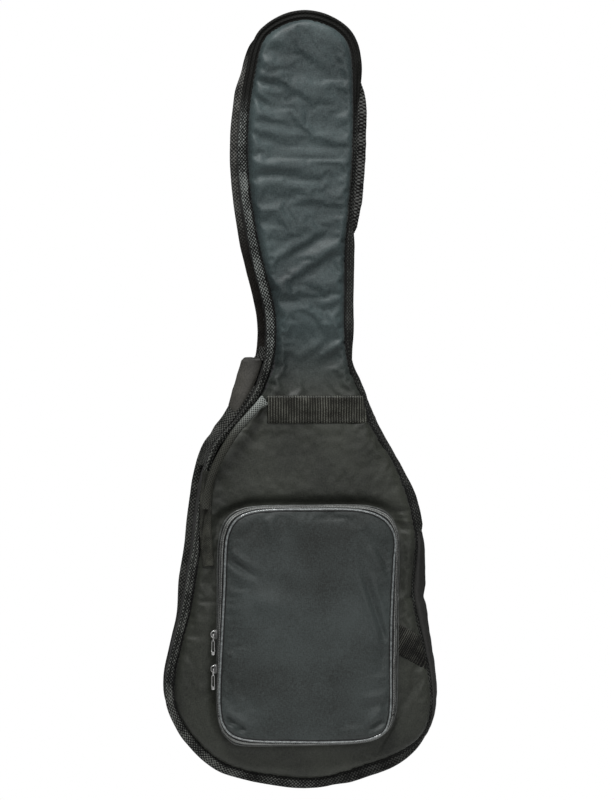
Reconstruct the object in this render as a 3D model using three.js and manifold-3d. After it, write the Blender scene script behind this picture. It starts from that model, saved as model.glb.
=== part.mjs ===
// Padded gig bag for an electric guitar, about 1.07 m long.
// The front panel is a lid: it is zipped round the head, the left side and the bottom, and it
// hinges on the plain gusset down the right side of the body. A zipped pocket, a webbing
// handle and two webbing bands are sewn to it. The back shell carries the shoulder straps and
// the loop that the bag hangs from.
// Axes: +X to the right seen from the front, -Y out of the front, +Z up. Millimetres.
// The origin is where the hanging loop rests on its hook; everything is laid out first with
// z = 0 at the bottom of the bag and y = 0 half way through it, then moved by HANG_POINT.
import * as THREE from 'three';
import { mergeVertices } from 'three/addons/utils/BufferGeometryUtils.js';
import Module from 'manifold-3d';

const manifold = await Module();
manifold.setup();

// ---------------------------------------------------------------- driving dimensions

const GAP = 0.3; // clearance between pieces that touch
const BODY_DEPTH = 68; // between the front and the back seam
const LINING = 0.6;
const FOAM = 6;
const FABRIC = 0.8;
const FOAM_INSET = 1; // lining and foam stop this far inside the seam
const BINDING_WIDTH = 12; // the bound seam allowance stands out this far
const BINDING_THICKNESS = 3;
const GUSSET_OFFSET = 2; // from the seam line to the inside of the gusset
const GUSSET_THICKNESS = 2;
const SPLIT_Y = -16; // plane where the main zip parts
const COIL_DEPTH = 1.85;
const COIL_THICKNESS = 2.4;
const TAPE_WIDTH = 9;
const TAPE_THICKNESS = 0.8;
const WEBBING = 38; // width of the sewn bands
const WEBBING_THICKNESS = 1.6;
const HANG_POINT = [0, 47.5, 1049];

// The front seam as the bag hangs, clockwise from the top of the head: [x, z].
const SEAM = [
  [-3, 1058], [30, 1051], [52, 1036], [63, 1012], [66, 960], [65, 880], [60, 805],
  [55, 745], [54, 680], [54.5, 615], [61, 576], [79, 537], [88, 502], [118, 455],
  [142, 400], [155, 335], [150, 268], [158, 220], [171, 162], [177, 112], [168, 72],
  [140, 47], [80, 26], [15, 11], [-50, 17], [-113, 34], [-155, 69], [-183, 117],
  [-182, 168], [-163, 245], [-150, 325], [-141, 398], [-125, 464], [-94, 500],
  [-63, 546], [-46, 600], [-46, 655], [-58, 705], [-73, 772], [-83, 850], [-82, 925],
  [-73, 985], [-61, 1028], [-37, 1048],
];

// Lengths of gusset, as stations on the seam: a station is the number of a seam point, and
// one beyond the last point carries on round from the first.
const STRETCHES = {
  head: [41, 48],
  neck_right: [48, 53.5],
  waist_right: [9.5, 14.5],
  side_right: [14.5, 20.5],
  bottom: [20.5, 26.5],
  side_left: [26.5, 31],
  waist_left: [31, 34.5],
  neck_left: [34.5, 41],
};
const ZIP_STRETCH = [20.9, 53.1];
const FACETS = 2; // from one seam point to the next
const STRETCH_GAP = 0.008; // of a station, at each end of a length of gusset

const POCKET = { left: -128, right: 128, bottom: 58, top: 386, topRadius: 38, bottomRadius: 32 };
const POCKET_BACK_Y = -44.2;
const POCKET_SPLIT_Y = -57.2;
const POCKET_FRONT_Y = -72;
const POCKET_WALL = 2;
const POCKET_PIPING = 2.8;
const POCKET_FACE = 1.6;

const SLIDER = { depth: 3, width: 9, length: 13 };
const PULL = { width: 5.5, length: 28, thickness: 1.2, pivot: 4.6 };

const STRAP = {
  top: [30, 556], bottom: [112, 72], // [x, z] of the right strap's pivots, mirrored for the left
  backY: 43.5, padWidth: 58, padLength: 278, padThickness: 8, webbing: 25,
};
const BUCKLE = { width: 38, length: 26, thickness: 3, slots: [4, 14.5], slotHeight: 6.5 };

// ---------------------------------------------------------------- materials

const colours = {
  shell: 0x2f3333,
  pocketCloth: 0x2c3130,
  foam: 0x8a8a88,
  lining: 0x16181a,
  binding: 0x1f2222,
  webbing: 0x1b1d1d,
  tape: 0x232626,
  coil: 0x121313,
  piping: 0x4a4d4b,
  nickel: 0x8f9296,
  plastic: 0x141515,
};

function material(colour, roughness, metalness = 0) {
  return new THREE.MeshStandardMaterial({ color: colour, roughness, metalness });
}

const materials = {
  shell: material(colours.shell, 0.75),
  pocketCloth: material(colours.pocketCloth, 0.7),
  foam: material(colours.foam, 0.95),
  lining: material(colours.lining, 0.7),
  binding: material(colours.binding, 0.85),
  webbing: material(colours.webbing, 0.8),
  tape: material(colours.tape, 0.85),
  coil: material(colours.coil, 0.5),
  piping: material(colours.piping, 0.5),
  nickel: material(colours.nickel, 0.35, 1),
  plastic: material(colours.plastic, 0.45),
};

// ---------------------------------------------------------------- solids from outlines

// A plate lying in an XZ plane: the shape's own x and y become X and Z.
function plate(shape, y0, y1) {
  const depth = Math.abs(y1 - y0);
  const geometry = new THREE.ExtrudeGeometry(shape, { depth, bevelEnabled: false, curveSegments: 8 });
  geometry.rotateX(Math.PI / 2);
  return geometry.translate(0, Math.max(y0, y1), 0);
}

// A plate lying in a YZ plane: the shape's own x and y become Y and Z.
function sidePlate(shape, x0, x1) {
  const depth = Math.abs(x1 - x0);
  const geometry = new THREE.ExtrudeGeometry(shape, { depth, bevelEnabled: false, curveSegments: 8 });
  const axes = new THREE.Matrix4().makeBasis(
    new THREE.Vector3(0, 1, 0),
    new THREE.Vector3(0, 0, 1),
    new THREE.Vector3(1, 0, 0),
  );
  geometry.applyMatrix4(axes);
  return geometry.translate(Math.min(x0, x1), 0, 0);
}

function polygon(points) {
  return new THREE.Shape(points.map(([a, b]) => new THREE.Vector2(a, b)));
}

// A hole has to run the other way round from the outline it is in.
function addHole(shape, outline) {
  const points = outline.getPoints(8);
  const { isClockWise } = THREE.ShapeUtils;
  const sameWay = isClockWise(points) === isClockWise(shape.getPoints(8));
  shape.holes.push(new THREE.Path(sameWay ? points.reverse() : points));
}

// A rounded rectangle with its own radius at each end.
function roundedRect({ left, right, bottom, top, bottomRadius, topRadius }) {
  const shape = new THREE.Shape();
  shape.moveTo(left, bottom + bottomRadius);
  shape.lineTo(left, top - topRadius);
  shape.absarc(left + topRadius, top - topRadius, topRadius, Math.PI, Math.PI / 2, true);
  shape.lineTo(right - topRadius, top);
  shape.absarc(right - topRadius, top - topRadius, topRadius, Math.PI / 2, 0, true);
  shape.lineTo(right, bottom + bottomRadius);
  shape.absarc(right - bottomRadius, bottom + bottomRadius, bottomRadius, 0, -Math.PI / 2, true);
  shape.lineTo(left + bottomRadius, bottom);
  shape.absarc(left + bottomRadius, bottom + bottomRadius, bottomRadius, -Math.PI / 2, -Math.PI, true);
  return shape;
}

// A band of constant width along a smooth line through the points.
function ribbon(points, width, steps) {
  const line = new THREE.SplineCurve(points.map(([a, b]) => new THREE.Vector2(a, b)));
  const left = [];
  const right = [];
  for (let i = 0; i <= steps; i += 1) {
    const at = line.getPoint(i / steps);
    const along = line.getTangent(i / steps);
    const across = new THREE.Vector2(-along.y, along.x).multiplyScalar(width / 2);
    left.push(at.clone().add(across));
    right.push(at.clone().sub(across));
  }
  return new THREE.Shape([...left, ...right.reverse()]);
}

// Joins closed solids into one.
function union(geometries) {
  const solids = geometries.map((geometry) => {
    const bare = geometry.clone();
    bare.deleteAttribute('normal');
    bare.deleteAttribute('uv');
    const merged = mergeVertices(bare, 1e-4);
    return new manifold.Manifold(new manifold.Mesh({
      numProp: 3,
      vertProperties: merged.attributes.position.array,
      triVerts: new Uint32Array(merged.index.array),
    }));
  });
  const mesh = solids.reduce((a, b) => a.add(b)).getMesh();
  const geometry = new THREE.BufferGeometry();
  geometry.setAttribute('position', new THREE.BufferAttribute(mesh.vertProperties, 3));
  geometry.setIndex(new THREE.BufferAttribute(mesh.triVerts, 1));
  geometry.computeVertexNormals();
  return geometry;
}

// ---------------------------------------------------------------- the seam line

const seamCurve = new THREE.CatmullRomCurve3(
  SEAM.map(([x, z]) => new THREE.Vector3(x, 0, z)),
  true,
  'centripetal',
);

// A corner of the faceted seam, moved outward in its own plane.
function seamCorner(index, outward) {
  const t = (index / (SEAM.length * FACETS)) % 1;
  const at = seamCurve.getPoint(t);
  const along = seamCurve.getTangent(t);
  return new THREE.Vector2(at.x - along.z * outward, at.z + along.x * outward);
}

// A station between two corners lies on the facet, so that all the pieces share their facets.
function seamPoint(station, outward) {
  const before = Math.floor(station * FACETS);
  const share = station * FACETS - before;
  return seamCorner(before, outward).lerp(seamCorner(before + 1, outward), share);
}

function seamLine(from, to, outward) {
  const points = [seamPoint(from, outward)];
  for (let i = Math.floor(from * FACETS) + 1; i < to * FACETS; i += 1) {
    points.push(seamCorner(i, outward));
  }
  points.push(seamPoint(to, outward));
  return points;
}

function seamShape(outward) {
  return new THREE.Shape(seamLine(0, SEAM.length, outward).slice(0, -1));
}

function seamRing(inner, outer) {
  const shape = seamShape(outer);
  addHole(shape, seamShape(inner));
  return shape;
}

function seamStrip(from, to, inner, outer) {
  return new THREE.Shape([...seamLine(from, to, outer), ...seamLine(from, to, inner).reverse()]);
}

// ---------------------------------------------------------------- the assembly

const bag = new THREE.Group();
bag.name = 'gig_bag';
const layout = new THREE.Group();
layout.position.set(...HANG_POINT).negate();
bag.add(layout);

function addPiece(name, geometry, look, parent = layout) {
  const mesh = new THREE.Mesh(geometry, materials[look]);
  mesh.name = name;
  parent.add(mesh);
  return mesh;
}

// Lining, foam and outer cloth, from the seam plane outward. side is -1 in front, 1 behind.
function addPanel(name, side) {
  const seamY = (side * BODY_DEPTH) / 2;
  const layers = [
    ['lining', LINING, -FOAM_INSET, 'lining'],
    ['foam', FOAM, -FOAM_INSET, 'foam'],
    ['fabric', FABRIC, 0, 'shell'],
  ];
  let height = 0;
  for (const [layer, thickness, outward, look] of layers) {
    const from = seamY + side * height;
    const geometry = plate(seamShape(outward), from, from + side * thickness);
    addPiece(`${name}_${layer}`, geometry, look);
    height += thickness + GAP;
  }
}

function addBinding(name, side) {
  const from = (side * BODY_DEPTH) / 2;
  const ring = seamRing(GAP, GAP + BINDING_WIDTH);
  addPiece(name, plate(ring, from, from + side * BINDING_THICKNESS), 'binding');
}

// The walls between the panels and the zip, in lengths that each bend one way.
function addGusset(prefix, y0, y1) {
  for (const [stretch, [from, to]] of Object.entries(STRETCHES)) {
    const outer = GUSSET_OFFSET + GUSSET_THICKNESS;
    const strip = seamStrip(from + STRETCH_GAP, to - STRETCH_GAP, GUSSET_OFFSET, outer);
    addPiece(`${prefix}_${stretch}`, plate(strip, y0, y1), 'shell');
  }
}

// One half of the main zip: its woven tape, sewn over the gusset, and its coil at the split.
function addZipHalf(prefix, side) {
  const coilStart = SPLIT_Y + side * (GAP / 2);
  const coilEnd = coilStart + side * COIL_DEPTH;
  const middle = GUSSET_OFFSET + GUSSET_THICKNESS / 2;
  const coil = seamStrip(...ZIP_STRETCH, middle - COIL_THICKNESS / 2, middle + COIL_THICKNESS / 2);
  addPiece(`${prefix}_zip_coil`, plate(coil, coilStart, coilEnd), 'coil');
  const tapeStart = coilEnd + side * GAP;
  const tapeInner = GUSSET_OFFSET + GUSSET_THICKNESS + GAP;
  const tape = seamStrip(...ZIP_STRETCH, tapeInner, tapeInner + TAPE_THICKNESS);
  addPiece(`${prefix}_zip_tape`, plate(tape, tapeStart, tapeStart + side * TAPE_WIDTH), 'tape');
}

const coilClear = GAP * 1.5 + COIL_DEPTH;
const seamClear = BODY_DEPTH / 2 - GAP;

addPanel('front_panel', -1);
addBinding('front_binding', -1);
addGusset('lid_gusset', SPLIT_Y - coilClear, -seamClear);
addZipHalf('front', -1);

addPanel('back_panel', 1);
addBinding('back_binding', 1);
addGusset('shell_gusset', SPLIT_Y + coilClear, seamClear);
addZipHalf('back', 1);

// ---------------------------------------------------------------- webbing on the front

const FRONT_FACE_Y = -(BODY_DEPTH / 2 + LINING + FOAM + FABRIC + 2 * GAP);
const BAND_BACK_Y = FRONT_FACE_Y - GAP;
const BAND_FRONT_Y = BAND_BACK_Y - WEBBING_THICKNESS;

function addFrontBands() {
  const upperZ = 501;
  const upper = polygon([[-57, upperZ], [86, upperZ], [78, upperZ + WEBBING], [-57, upperZ + WEBBING]]);
  addPiece('upper_webbing', plate(upper, BAND_BACK_Y, BAND_FRONT_Y), 'webbing');

  const lower = polygon([[-129, 327], [159, 162], [156, 205], [-129, 371]]);
  addPiece('lower_webbing', plate(lower, BAND_BACK_Y, BAND_FRONT_Y), 'webbing');

  const tab = polygon([[-148, 308], [-131, 300], [-131, 418], [-148, 418]]);
  addPiece('handle_end_webbing', plate(tab, BAND_BACK_Y, BAND_FRONT_Y), 'webbing');
}

// The handle is webbing folded double. It bows out from the panel between its two ends.
function addHandle() {
  const width = 16;
  const thickness = 4;
  const bow = 22;
  const line = [[-64, 534], [-88, 512], [-111, 491], [-128, 463], [-137, 426]];
  const backY = BAND_FRONT_Y - GAP;
  const geometry = plate(ribbon(line, width, 18), backY, backY - thickness);
  const position = geometry.attributes.position;
  const top = line[0][1];
  const bottom = line[line.length - 1][1];
  for (let i = 0; i < position.count; i += 1) {
    const share = THREE.MathUtils.clamp((position.getZ(i) - bottom) / (top - bottom), 0, 1);
    position.setY(i, position.getY(i) - bow * Math.sin(Math.PI * share) ** 0.8);
  }
  addPiece('carry_handle', geometry, 'webbing');
}

addFrontBands();
addHandle();

// ---------------------------------------------------------------- pocket

function pocketOutline(outward) {
  return roundedRect({
    left: POCKET.left - outward,
    right: POCKET.right + outward,
    bottom: POCKET.bottom - outward,
    top: POCKET.top + outward,
    bottomRadius: POCKET.bottomRadius + outward,
    topRadius: POCKET.topRadius + outward,
  });
}

function pocketRing(inner, outer) {
  const shape = pocketOutline(outer);
  addHole(shape, pocketOutline(inner));
  return shape;
}

// The zip runs up the left side, over the top and down the right: an arch open at the bottom.
function pocketArch(inner, outer) {
  const foot = POCKET.bottom + POCKET.bottomRadius + 8;
  const side = (outward) => {
    const curve = new THREE.Path();
    const { left, right, top, topRadius: r } = POCKET;
    curve.moveTo(left - outward, foot);
    curve.lineTo(left - outward, top - r);
    curve.absarc(left + r, top - r, r + outward, Math.PI, Math.PI / 2, true);
    curve.lineTo(right - r, top + outward);
    curve.absarc(right - r, top - r, r + outward, Math.PI / 2, 0, true);
    curve.lineTo(right + outward, foot);
    return curve.getPoints(8);
  };
  return new THREE.Shape([...side(outer), ...side(inner).reverse()]);
}

function addPocket() {
  const coilY = [POCKET_SPLIT_Y + GAP / 2, POCKET_SPLIT_Y - GAP / 2];
  const rear = pocketRing(-POCKET_WALL, 0);
  const piping = pocketRing(-1, POCKET_PIPING - 1);
  const coil = pocketArch(-POCKET_WALL, 0.4);

  addPiece('pocket_piping_rear', plate(piping, POCKET_BACK_Y, POCKET_BACK_Y - POCKET_PIPING), 'piping');
  const rearStart = POCKET_BACK_Y - POCKET_PIPING - GAP;
  const rearEnd = coilY[0] + COIL_DEPTH + GAP;
  addPiece('pocket_gusset_rear', plate(rear, rearStart, rearEnd), 'pocketCloth');
  addPiece('pocket_zip_coil_rear', plate(coil, coilY[0], coilY[0] + COIL_DEPTH), 'coil');

  addPiece('pocket_zip_coil_front', plate(coil, coilY[1], coilY[1] - COIL_DEPTH), 'coil');
  const faceBack = POCKET_FRONT_Y + POCKET_FACE;
  const pipingBack = faceBack + GAP + POCKET_PIPING;
  addPiece(
    'pocket_gusset_front',
    plate(rear, coilY[1] - COIL_DEPTH - GAP, pipingBack + GAP),
    'pocketCloth',
  );
  addPiece('pocket_piping_front', plate(piping, pipingBack, pipingBack - POCKET_PIPING), 'piping');
  addPiece('pocket_face', plate(pocketOutline(-0.5), faceBack, POCKET_FRONT_Y), 'pocketCloth');
}

addPocket();

// ---------------------------------------------------------------- zip sliders

// A slider in its own frame: it stands on x = 0, faces +X and runs along Z.
function sliderBody() {
  const base = new THREE.BoxGeometry(SLIDER.depth, SLIDER.width, SLIDER.length);
  base.translate(SLIDER.depth / 2, 0, 0);
  const foot = SLIDER.depth - 0.5;
  const top = SLIDER.depth + 4.8;
  const inner = top - 1.6;
  const bridge = polygon([
    [foot, -4.5], [top, -4.5], [top, 4.5], [foot, 4.5],
    [foot, 2.9], [inner, 2.9], [inner, -2.9], [foot, -2.9],
  ]);
  return union([base, plate(bridge, -1.2, 1.2)]);
}

// The pull hangs from the slider's bridge: its top bar lies under the bridge, on the pivot.
function pullTab() {
  const half = PULL.width / 2;
  const shape = polygon([
    [-half, 1], [half, 1], [half, -8.6], [half - 0.6, -10], [half - 0.6, -PULL.length],
    [-half + 0.6, -PULL.length], [-half + 0.6, -10], [-half, -8.6],
  ]);
  addHole(shape, polygon([[-1.9, -0.9], [1.9, -0.9], [1.9, -7.6], [-1.9, -7.6]]));
  return sidePlate(shape, PULL.pivot - PULL.thickness / 2, PULL.pivot + PULL.thickness / 2);
}

function addSlider(name, [x, y, z], facing) {
  const group = new THREE.Group();
  group.position.set(x, y, z);
  group.rotation.z = facing === 'left' ? Math.PI : 0;
  layout.add(group);
  addPiece(`${name}_slider`, sliderBody(), 'nickel', group);
  addPiece(`${name}_pull`, pullTab(), 'nickel', group);
}

const pocketSliderX = POCKET.left - 1.2;
addSlider('pocket_upper', [pocketSliderX, POCKET_SPLIT_Y, 215], 'left');
addSlider('pocket_lower', [pocketSliderX, POCKET_SPLIT_Y, 168], 'left');

const neckSliderX = 55 + GUSSET_OFFSET + GUSSET_THICKNESS + GAP + TAPE_THICKNESS + 1.2;
addSlider('main_upper', [neckSliderX, SPLIT_Y, 690], 'right');
addSlider('main_lower', [neckSliderX, SPLIT_Y, 645], 'right');

// ---------------------------------------------------------------- the back

const BACK_FACE_Y = -FRONT_FACE_Y;

function addHangLoop() {
  const line = [[43.5, 990], [43.7, 1002], [51, 1018], [55, 1035], [51.5, 1050], [44.5, 1056]];
  addPiece('hang_loop', sidePlate(ribbon(line, 2, 16), -12.5, 12.5), 'webbing');
}

function addStrapPatch() {
  const halfWidth = 42;
  const low = STRAP.top[1] + 4;
  const band = polygon([
    [-halfWidth, low], [halfWidth, low],
    [halfWidth, low + WEBBING], [-halfWidth, low + WEBBING],
  ]);
  const y = BACK_FACE_Y + GAP;
  addPiece('strap_patch', plate(band, y, y + WEBBING_THICKNESS), 'webbing');
}

// A shoulder strap hangs down its own -Z from its top pivot, turned out towards its anchor.
function addStrap(name, sign) {
  const [topX, topZ] = STRAP.top;
  const [footX, footZ] = STRAP.bottom;
  const span = Math.hypot(footX - topX, footZ - topZ);
  const group = new THREE.Group();
  group.position.set(sign * topX, STRAP.backY, topZ);
  group.rotation.y = -sign * Math.atan2(footX - topX, topZ - footZ);
  layout.add(group);

  const half = STRAP.padWidth / 2;
  const padEnd = -4 - STRAP.padLength;
  const pad = polygon([
    [-15, -4], [15, -4], [half - 3, -60], [half, -120], [half, padEnd + 40], [half - 12, padEnd],
    [-half + 12, padEnd], [-half, padEnd + 40], [-half, -120], [-half + 3, -60],
  ]);
  addPiece(`strap_pad_${name}`, plate(pad, 0, STRAP.padThickness), 'shell', group);

  const buckleTop = padEnd - GAP;
  const middle = STRAP.padThickness / 2;
  const frame = polygon([
    [-BUCKLE.width / 2, buckleTop], [BUCKLE.width / 2, buckleTop],
    [BUCKLE.width / 2, buckleTop - BUCKLE.length], [-BUCKLE.width / 2, buckleTop - BUCKLE.length],
  ]);
  for (const slot of BUCKLE.slots) {
    const high = buckleTop - slot;
    const low = high - BUCKLE.slotHeight;
    addHole(frame, polygon([[-14, high], [14, high], [14, low], [-14, low]]));
  }
  const buckle = plate(frame, middle - BUCKLE.thickness / 2, middle + BUCKLE.thickness / 2);
  addPiece(`strap_buckle_${name}`, buckle, 'plastic', group);

  const tailTop = buckleTop - BUCKLE.length - 1;
  const tailHalf = STRAP.webbing / 2;
  const tail = polygon([
    [-tailHalf, tailTop], [tailHalf, tailTop], [tailHalf, 3 - span], [-tailHalf, 3 - span],
  ]);
  addPiece(`strap_tail_${name}`, plate(tail, 0, WEBBING_THICKNESS), 'webbing', group);

  const anchor = polygon([
    [-tailHalf, -span - 1], [tailHalf, -span - 1], [tailHalf + 8, -span - 26], [-tailHalf - 8, -span - 26],
  ]);
  const anchorY = BACK_FACE_Y + GAP - STRAP.backY;
  addPiece(`strap_anchor_${name}`, plate(anchor, anchorY, anchorY + WEBBING_THICKNESS), 'webbing', group);
}

addHangLoop();
addStrapPatch();
addStrap('right', 1);
addStrap('left', -1);

export default bag;
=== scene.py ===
"""A padded gig bag: cloth, tape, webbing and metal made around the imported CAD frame.

Places are in bag millimetres: x to the bag's right, y to its back, z up from its foot. metres()
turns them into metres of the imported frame.
"""

import math

import bmesh
import bpy
import numpy as np
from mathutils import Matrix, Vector, geometry
from mathutils.bvhtree import BVHTree
from mathutils.kdtree import KDTree


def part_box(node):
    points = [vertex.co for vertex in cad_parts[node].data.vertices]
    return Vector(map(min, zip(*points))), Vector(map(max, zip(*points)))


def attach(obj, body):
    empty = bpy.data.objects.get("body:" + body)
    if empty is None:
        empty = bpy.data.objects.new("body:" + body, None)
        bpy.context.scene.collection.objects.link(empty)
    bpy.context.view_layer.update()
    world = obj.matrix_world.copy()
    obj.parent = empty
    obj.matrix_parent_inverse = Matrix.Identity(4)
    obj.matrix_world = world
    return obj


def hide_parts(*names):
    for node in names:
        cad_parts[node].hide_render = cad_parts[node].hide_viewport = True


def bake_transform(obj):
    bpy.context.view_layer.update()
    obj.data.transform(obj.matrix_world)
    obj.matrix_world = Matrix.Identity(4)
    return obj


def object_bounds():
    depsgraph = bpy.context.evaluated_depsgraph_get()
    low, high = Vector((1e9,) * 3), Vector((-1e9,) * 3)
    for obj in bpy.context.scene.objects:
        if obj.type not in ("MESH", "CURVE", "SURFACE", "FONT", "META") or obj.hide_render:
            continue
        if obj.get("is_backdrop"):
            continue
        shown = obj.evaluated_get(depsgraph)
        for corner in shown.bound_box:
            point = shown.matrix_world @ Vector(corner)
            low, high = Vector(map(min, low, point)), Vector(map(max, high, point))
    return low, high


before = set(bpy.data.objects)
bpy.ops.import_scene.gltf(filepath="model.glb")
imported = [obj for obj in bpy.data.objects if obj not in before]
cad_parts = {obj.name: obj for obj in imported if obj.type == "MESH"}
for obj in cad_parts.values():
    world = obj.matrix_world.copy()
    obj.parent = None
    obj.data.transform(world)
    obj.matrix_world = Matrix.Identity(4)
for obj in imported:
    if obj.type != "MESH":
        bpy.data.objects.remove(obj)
cad_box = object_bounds()

MM = 0.001
TAU = 2 * math.pi
SEAM_FOOT = 11                  # the front seam's lowest point, above the bag's foot
FRONT_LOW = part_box("front_panel_fabric")[0]
BACK_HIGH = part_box("back_panel_fabric")[1]
ORIGIN = np.array([0, (FRONT_LOW.y + BACK_HIGH.y) / 2, FRONT_LOW.z - SEAM_FOOT * MM])
PANEL_BODY = {-1: "front_lid", 1: "back_shell"}     # by side: -1 is the front, 1 is the back


def metres(points):
    """Bag millimetres to metres in the frame."""
    return ORIGIN + np.asarray(points, float) * MM


def bag_box(node):
    """A CAD node's lowest and highest corner in bag millimetres."""
    low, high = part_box(node)
    return (np.array(low) - ORIGIN) / MM, (np.array(high) - ORIGIN) / MM


def add_object(name, data):
    made = bpy.data.objects.new(name, data)
    bpy.context.scene.collection.objects.link(made)
    return made


def assign(piece, body, slot, *nodes):
    """The CAD nodes that a piece stands for, the slot of its finish, which is not used, and the body it rides
    on.
    """
    if nodes:
        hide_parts(*nodes)
    if body:
        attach(piece, body)
    return piece


# ---------------------------------------------------------------- camera, light, floor

VIEW_AZIMUTH = math.radians(-11)
VIEW_DISTANCE = 2.9
VIEW_HEIGHT = 1.1016            # metres of the bag's plane that the frame's 800 rows show
AIM = (0, -40, 533)
FLOOR_RADIUS, FLOOR_SIDES = 1.1, 64
FLOOR_DROP = 0.25               # metres from the bag's foot down to the floor


def add_camera():
    data = bpy.data.cameras.new("camera")
    data.lens = data.sensor_width * VIEW_DISTANCE / VIEW_HEIGHT
    camera = add_object("camera", data)
    back = Vector((math.sin(VIEW_AZIMUTH), -math.cos(VIEW_AZIMUTH), 0))
    camera.location = Vector(metres(AIM)) + back * VIEW_DISTANCE
    camera.rotation_euler = (-back).to_track_quat("-Z", "Y").to_euler()
    bpy.context.scene.camera = camera


def add_area_light(name, place, size, power):
    """A square light aimed at the bag's waist, with its place in metres."""
    data = bpy.data.lights.new(name, "AREA")
    data.size = size
    data.energy = power
    light = add_object(name, data)
    light.location = place
    aim = Vector(metres((0, 0, 560)))
    light.rotation_euler = (aim - Vector(place)).to_track_quat("-Z", "Y").to_euler()


def add_world(fill):
    """White behind the bag, and a softer white that fills the shade."""
    world = bpy.data.worlds.new("white_studio")
    world.use_nodes = True
    tree = world.node_tree
    seen = node(tree, "LightPath").outputs["Is Camera Ray"]
    strength = node(tree, "Mix", {"data_type": "FLOAT"}, i0=seen, i2=fill, i3=1.0).outputs[0]
    background = tree.nodes["Background"]
    background.inputs["Color"].default_value = (1, 1, 1, 1)
    tree.links.new(strength, background.inputs["Strength"])
    bpy.context.scene.world = world
    bpy.context.scene.view_settings.view_transform = "Standard"


def add_floor(material):
    z = metres((0, 0, 0))[2] - FLOOR_DROP
    angles = [TAU * k / FLOOR_SIDES for k in range(FLOOR_SIDES)]
    rim = [(FLOOR_RADIUS * math.cos(a), FLOOR_RADIUS * math.sin(a), z) for a in angles]
    mesh = bpy.data.meshes.new("floor")
    mesh.from_pydata(rim, [], [tuple(range(FLOOR_SIDES))])
    mesh.materials.append(material)
    add_object("floor", mesh)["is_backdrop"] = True


# ---------------------------------------------------------------- materials

def node(tree, kind, settings=None, **inputs):
    """Adds a shader node. An input is a value, or another node's output socket."""
    made = tree.nodes.new("ShaderNode" + kind)
    for name, value in (settings or {}).items():
        setattr(made, name, value)
    for name, value in inputs.items():
        socket = made.inputs[int(name[1:]) if name[1:].isdigit() else name]
        if isinstance(value, bpy.types.NodeSocket):
            tree.links.new(value, socket)
        else:
            socket.default_value = value
    return made


def times(tree, a, b):
    return node(tree, "Math", {"operation": "MULTIPLY"}, i0=a, i1=b).outputs[0]


def weighted(tree, *terms, offset=0.0):
    """The sum of an offset and of each (socket, weight) term."""
    total = offset
    for socket, weight in terms:
        made = node(tree, "Math", {"operation": "MULTIPLY_ADD"}, i0=socket, i1=weight, i2=total)
        total = made.outputs[0]
    return total


WAVE_UNIT = TAU / 20            # the scale at which a wave texture's bands are one unit apart


def bands(tree, vector, direction, pitch, distortion=0.0):
    """Sine bands with the given pitch, in the units of the vector."""
    settings = {"wave_type": "BANDS", "bands_direction": direction}
    wave = node(tree, "TexWave", settings, Vector=vector, Scale=WAVE_UNIT / pitch, Distortion=distortion)
    return wave.outputs["Fac"]


def grain(tree, vector, size, detail=2.0):
    """Noise whose features are about the given size."""
    return node(tree, "TexNoise", None, Vector=vector, Scale=1 / size, Detail=detail).outputs["Fac"]


def ramp(tree, factor, low, dark, high, light):
    """The dark colour up to the low factor, and the light one from the high factor on."""
    made = node(tree, "ValToRGB", None, Fac=factor)
    for element, place, colour in zip(made.color_ramp.elements, (low, high), (dark, light)):
        element.position = place
        element.color = (*colour, 1)
    return made.outputs["Color"]


def mix(tree, factor, a, b):
    return node(tree, "Mix", {"data_type": "RGBA"}, i0=factor, i6=a, i7=b).outputs[2]


def fade_in(tree, low, high, axis="Z"):
    """0 below one place along an axis of the bag and 1 above the other."""
    at = node(tree, "SeparateXYZ", None, Vector=node(tree, "TexCoord").outputs["Object"]).outputs[axis]
    low, high = (metres((place, 0, place))["XYZ".index(axis)] for place in (low, high))
    made = node(tree, "MapRange", {"interpolation_type": "SMOOTHSTEP"}, i0=at, i1=low, i2=high)
    return made.outputs[0]


def new_material(name, roughness, space="Object", sheen=0.0, metallic=0.0, specular=0.5, coat=0.0):
    """A material, its node tree, and the coordinates that its pattern lies in."""
    material = bpy.data.materials.new(name)
    material.use_nodes = True
    tree = material.node_tree
    sockets = {"Roughness": roughness, "Metallic": metallic, "Specular IOR Level": specular,
               "Sheen Weight": sheen, "Sheen Roughness": 0.5, "Coat Weight": coat}
    for socket, value in sockets.items():
        tree.nodes["Principled BSDF"].inputs[socket].default_value = value
    return material, tree, node(tree, "TexCoord").outputs[space]


def finish_material(material, colour, height, strength, distance):
    """Puts a colour, and the bump of a height map, on a material's shader."""
    tree = material.node_tree
    shader = tree.nodes["Principled BSDF"]
    bump = node(tree, "Bump", None, Strength=strength, Distance=distance, Height=height)
    tree.links.new(colour, shader.inputs["Base Color"])
    tree.links.new(bump.outputs["Normal"], shader.inputs["Normal"])
    return material


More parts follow.
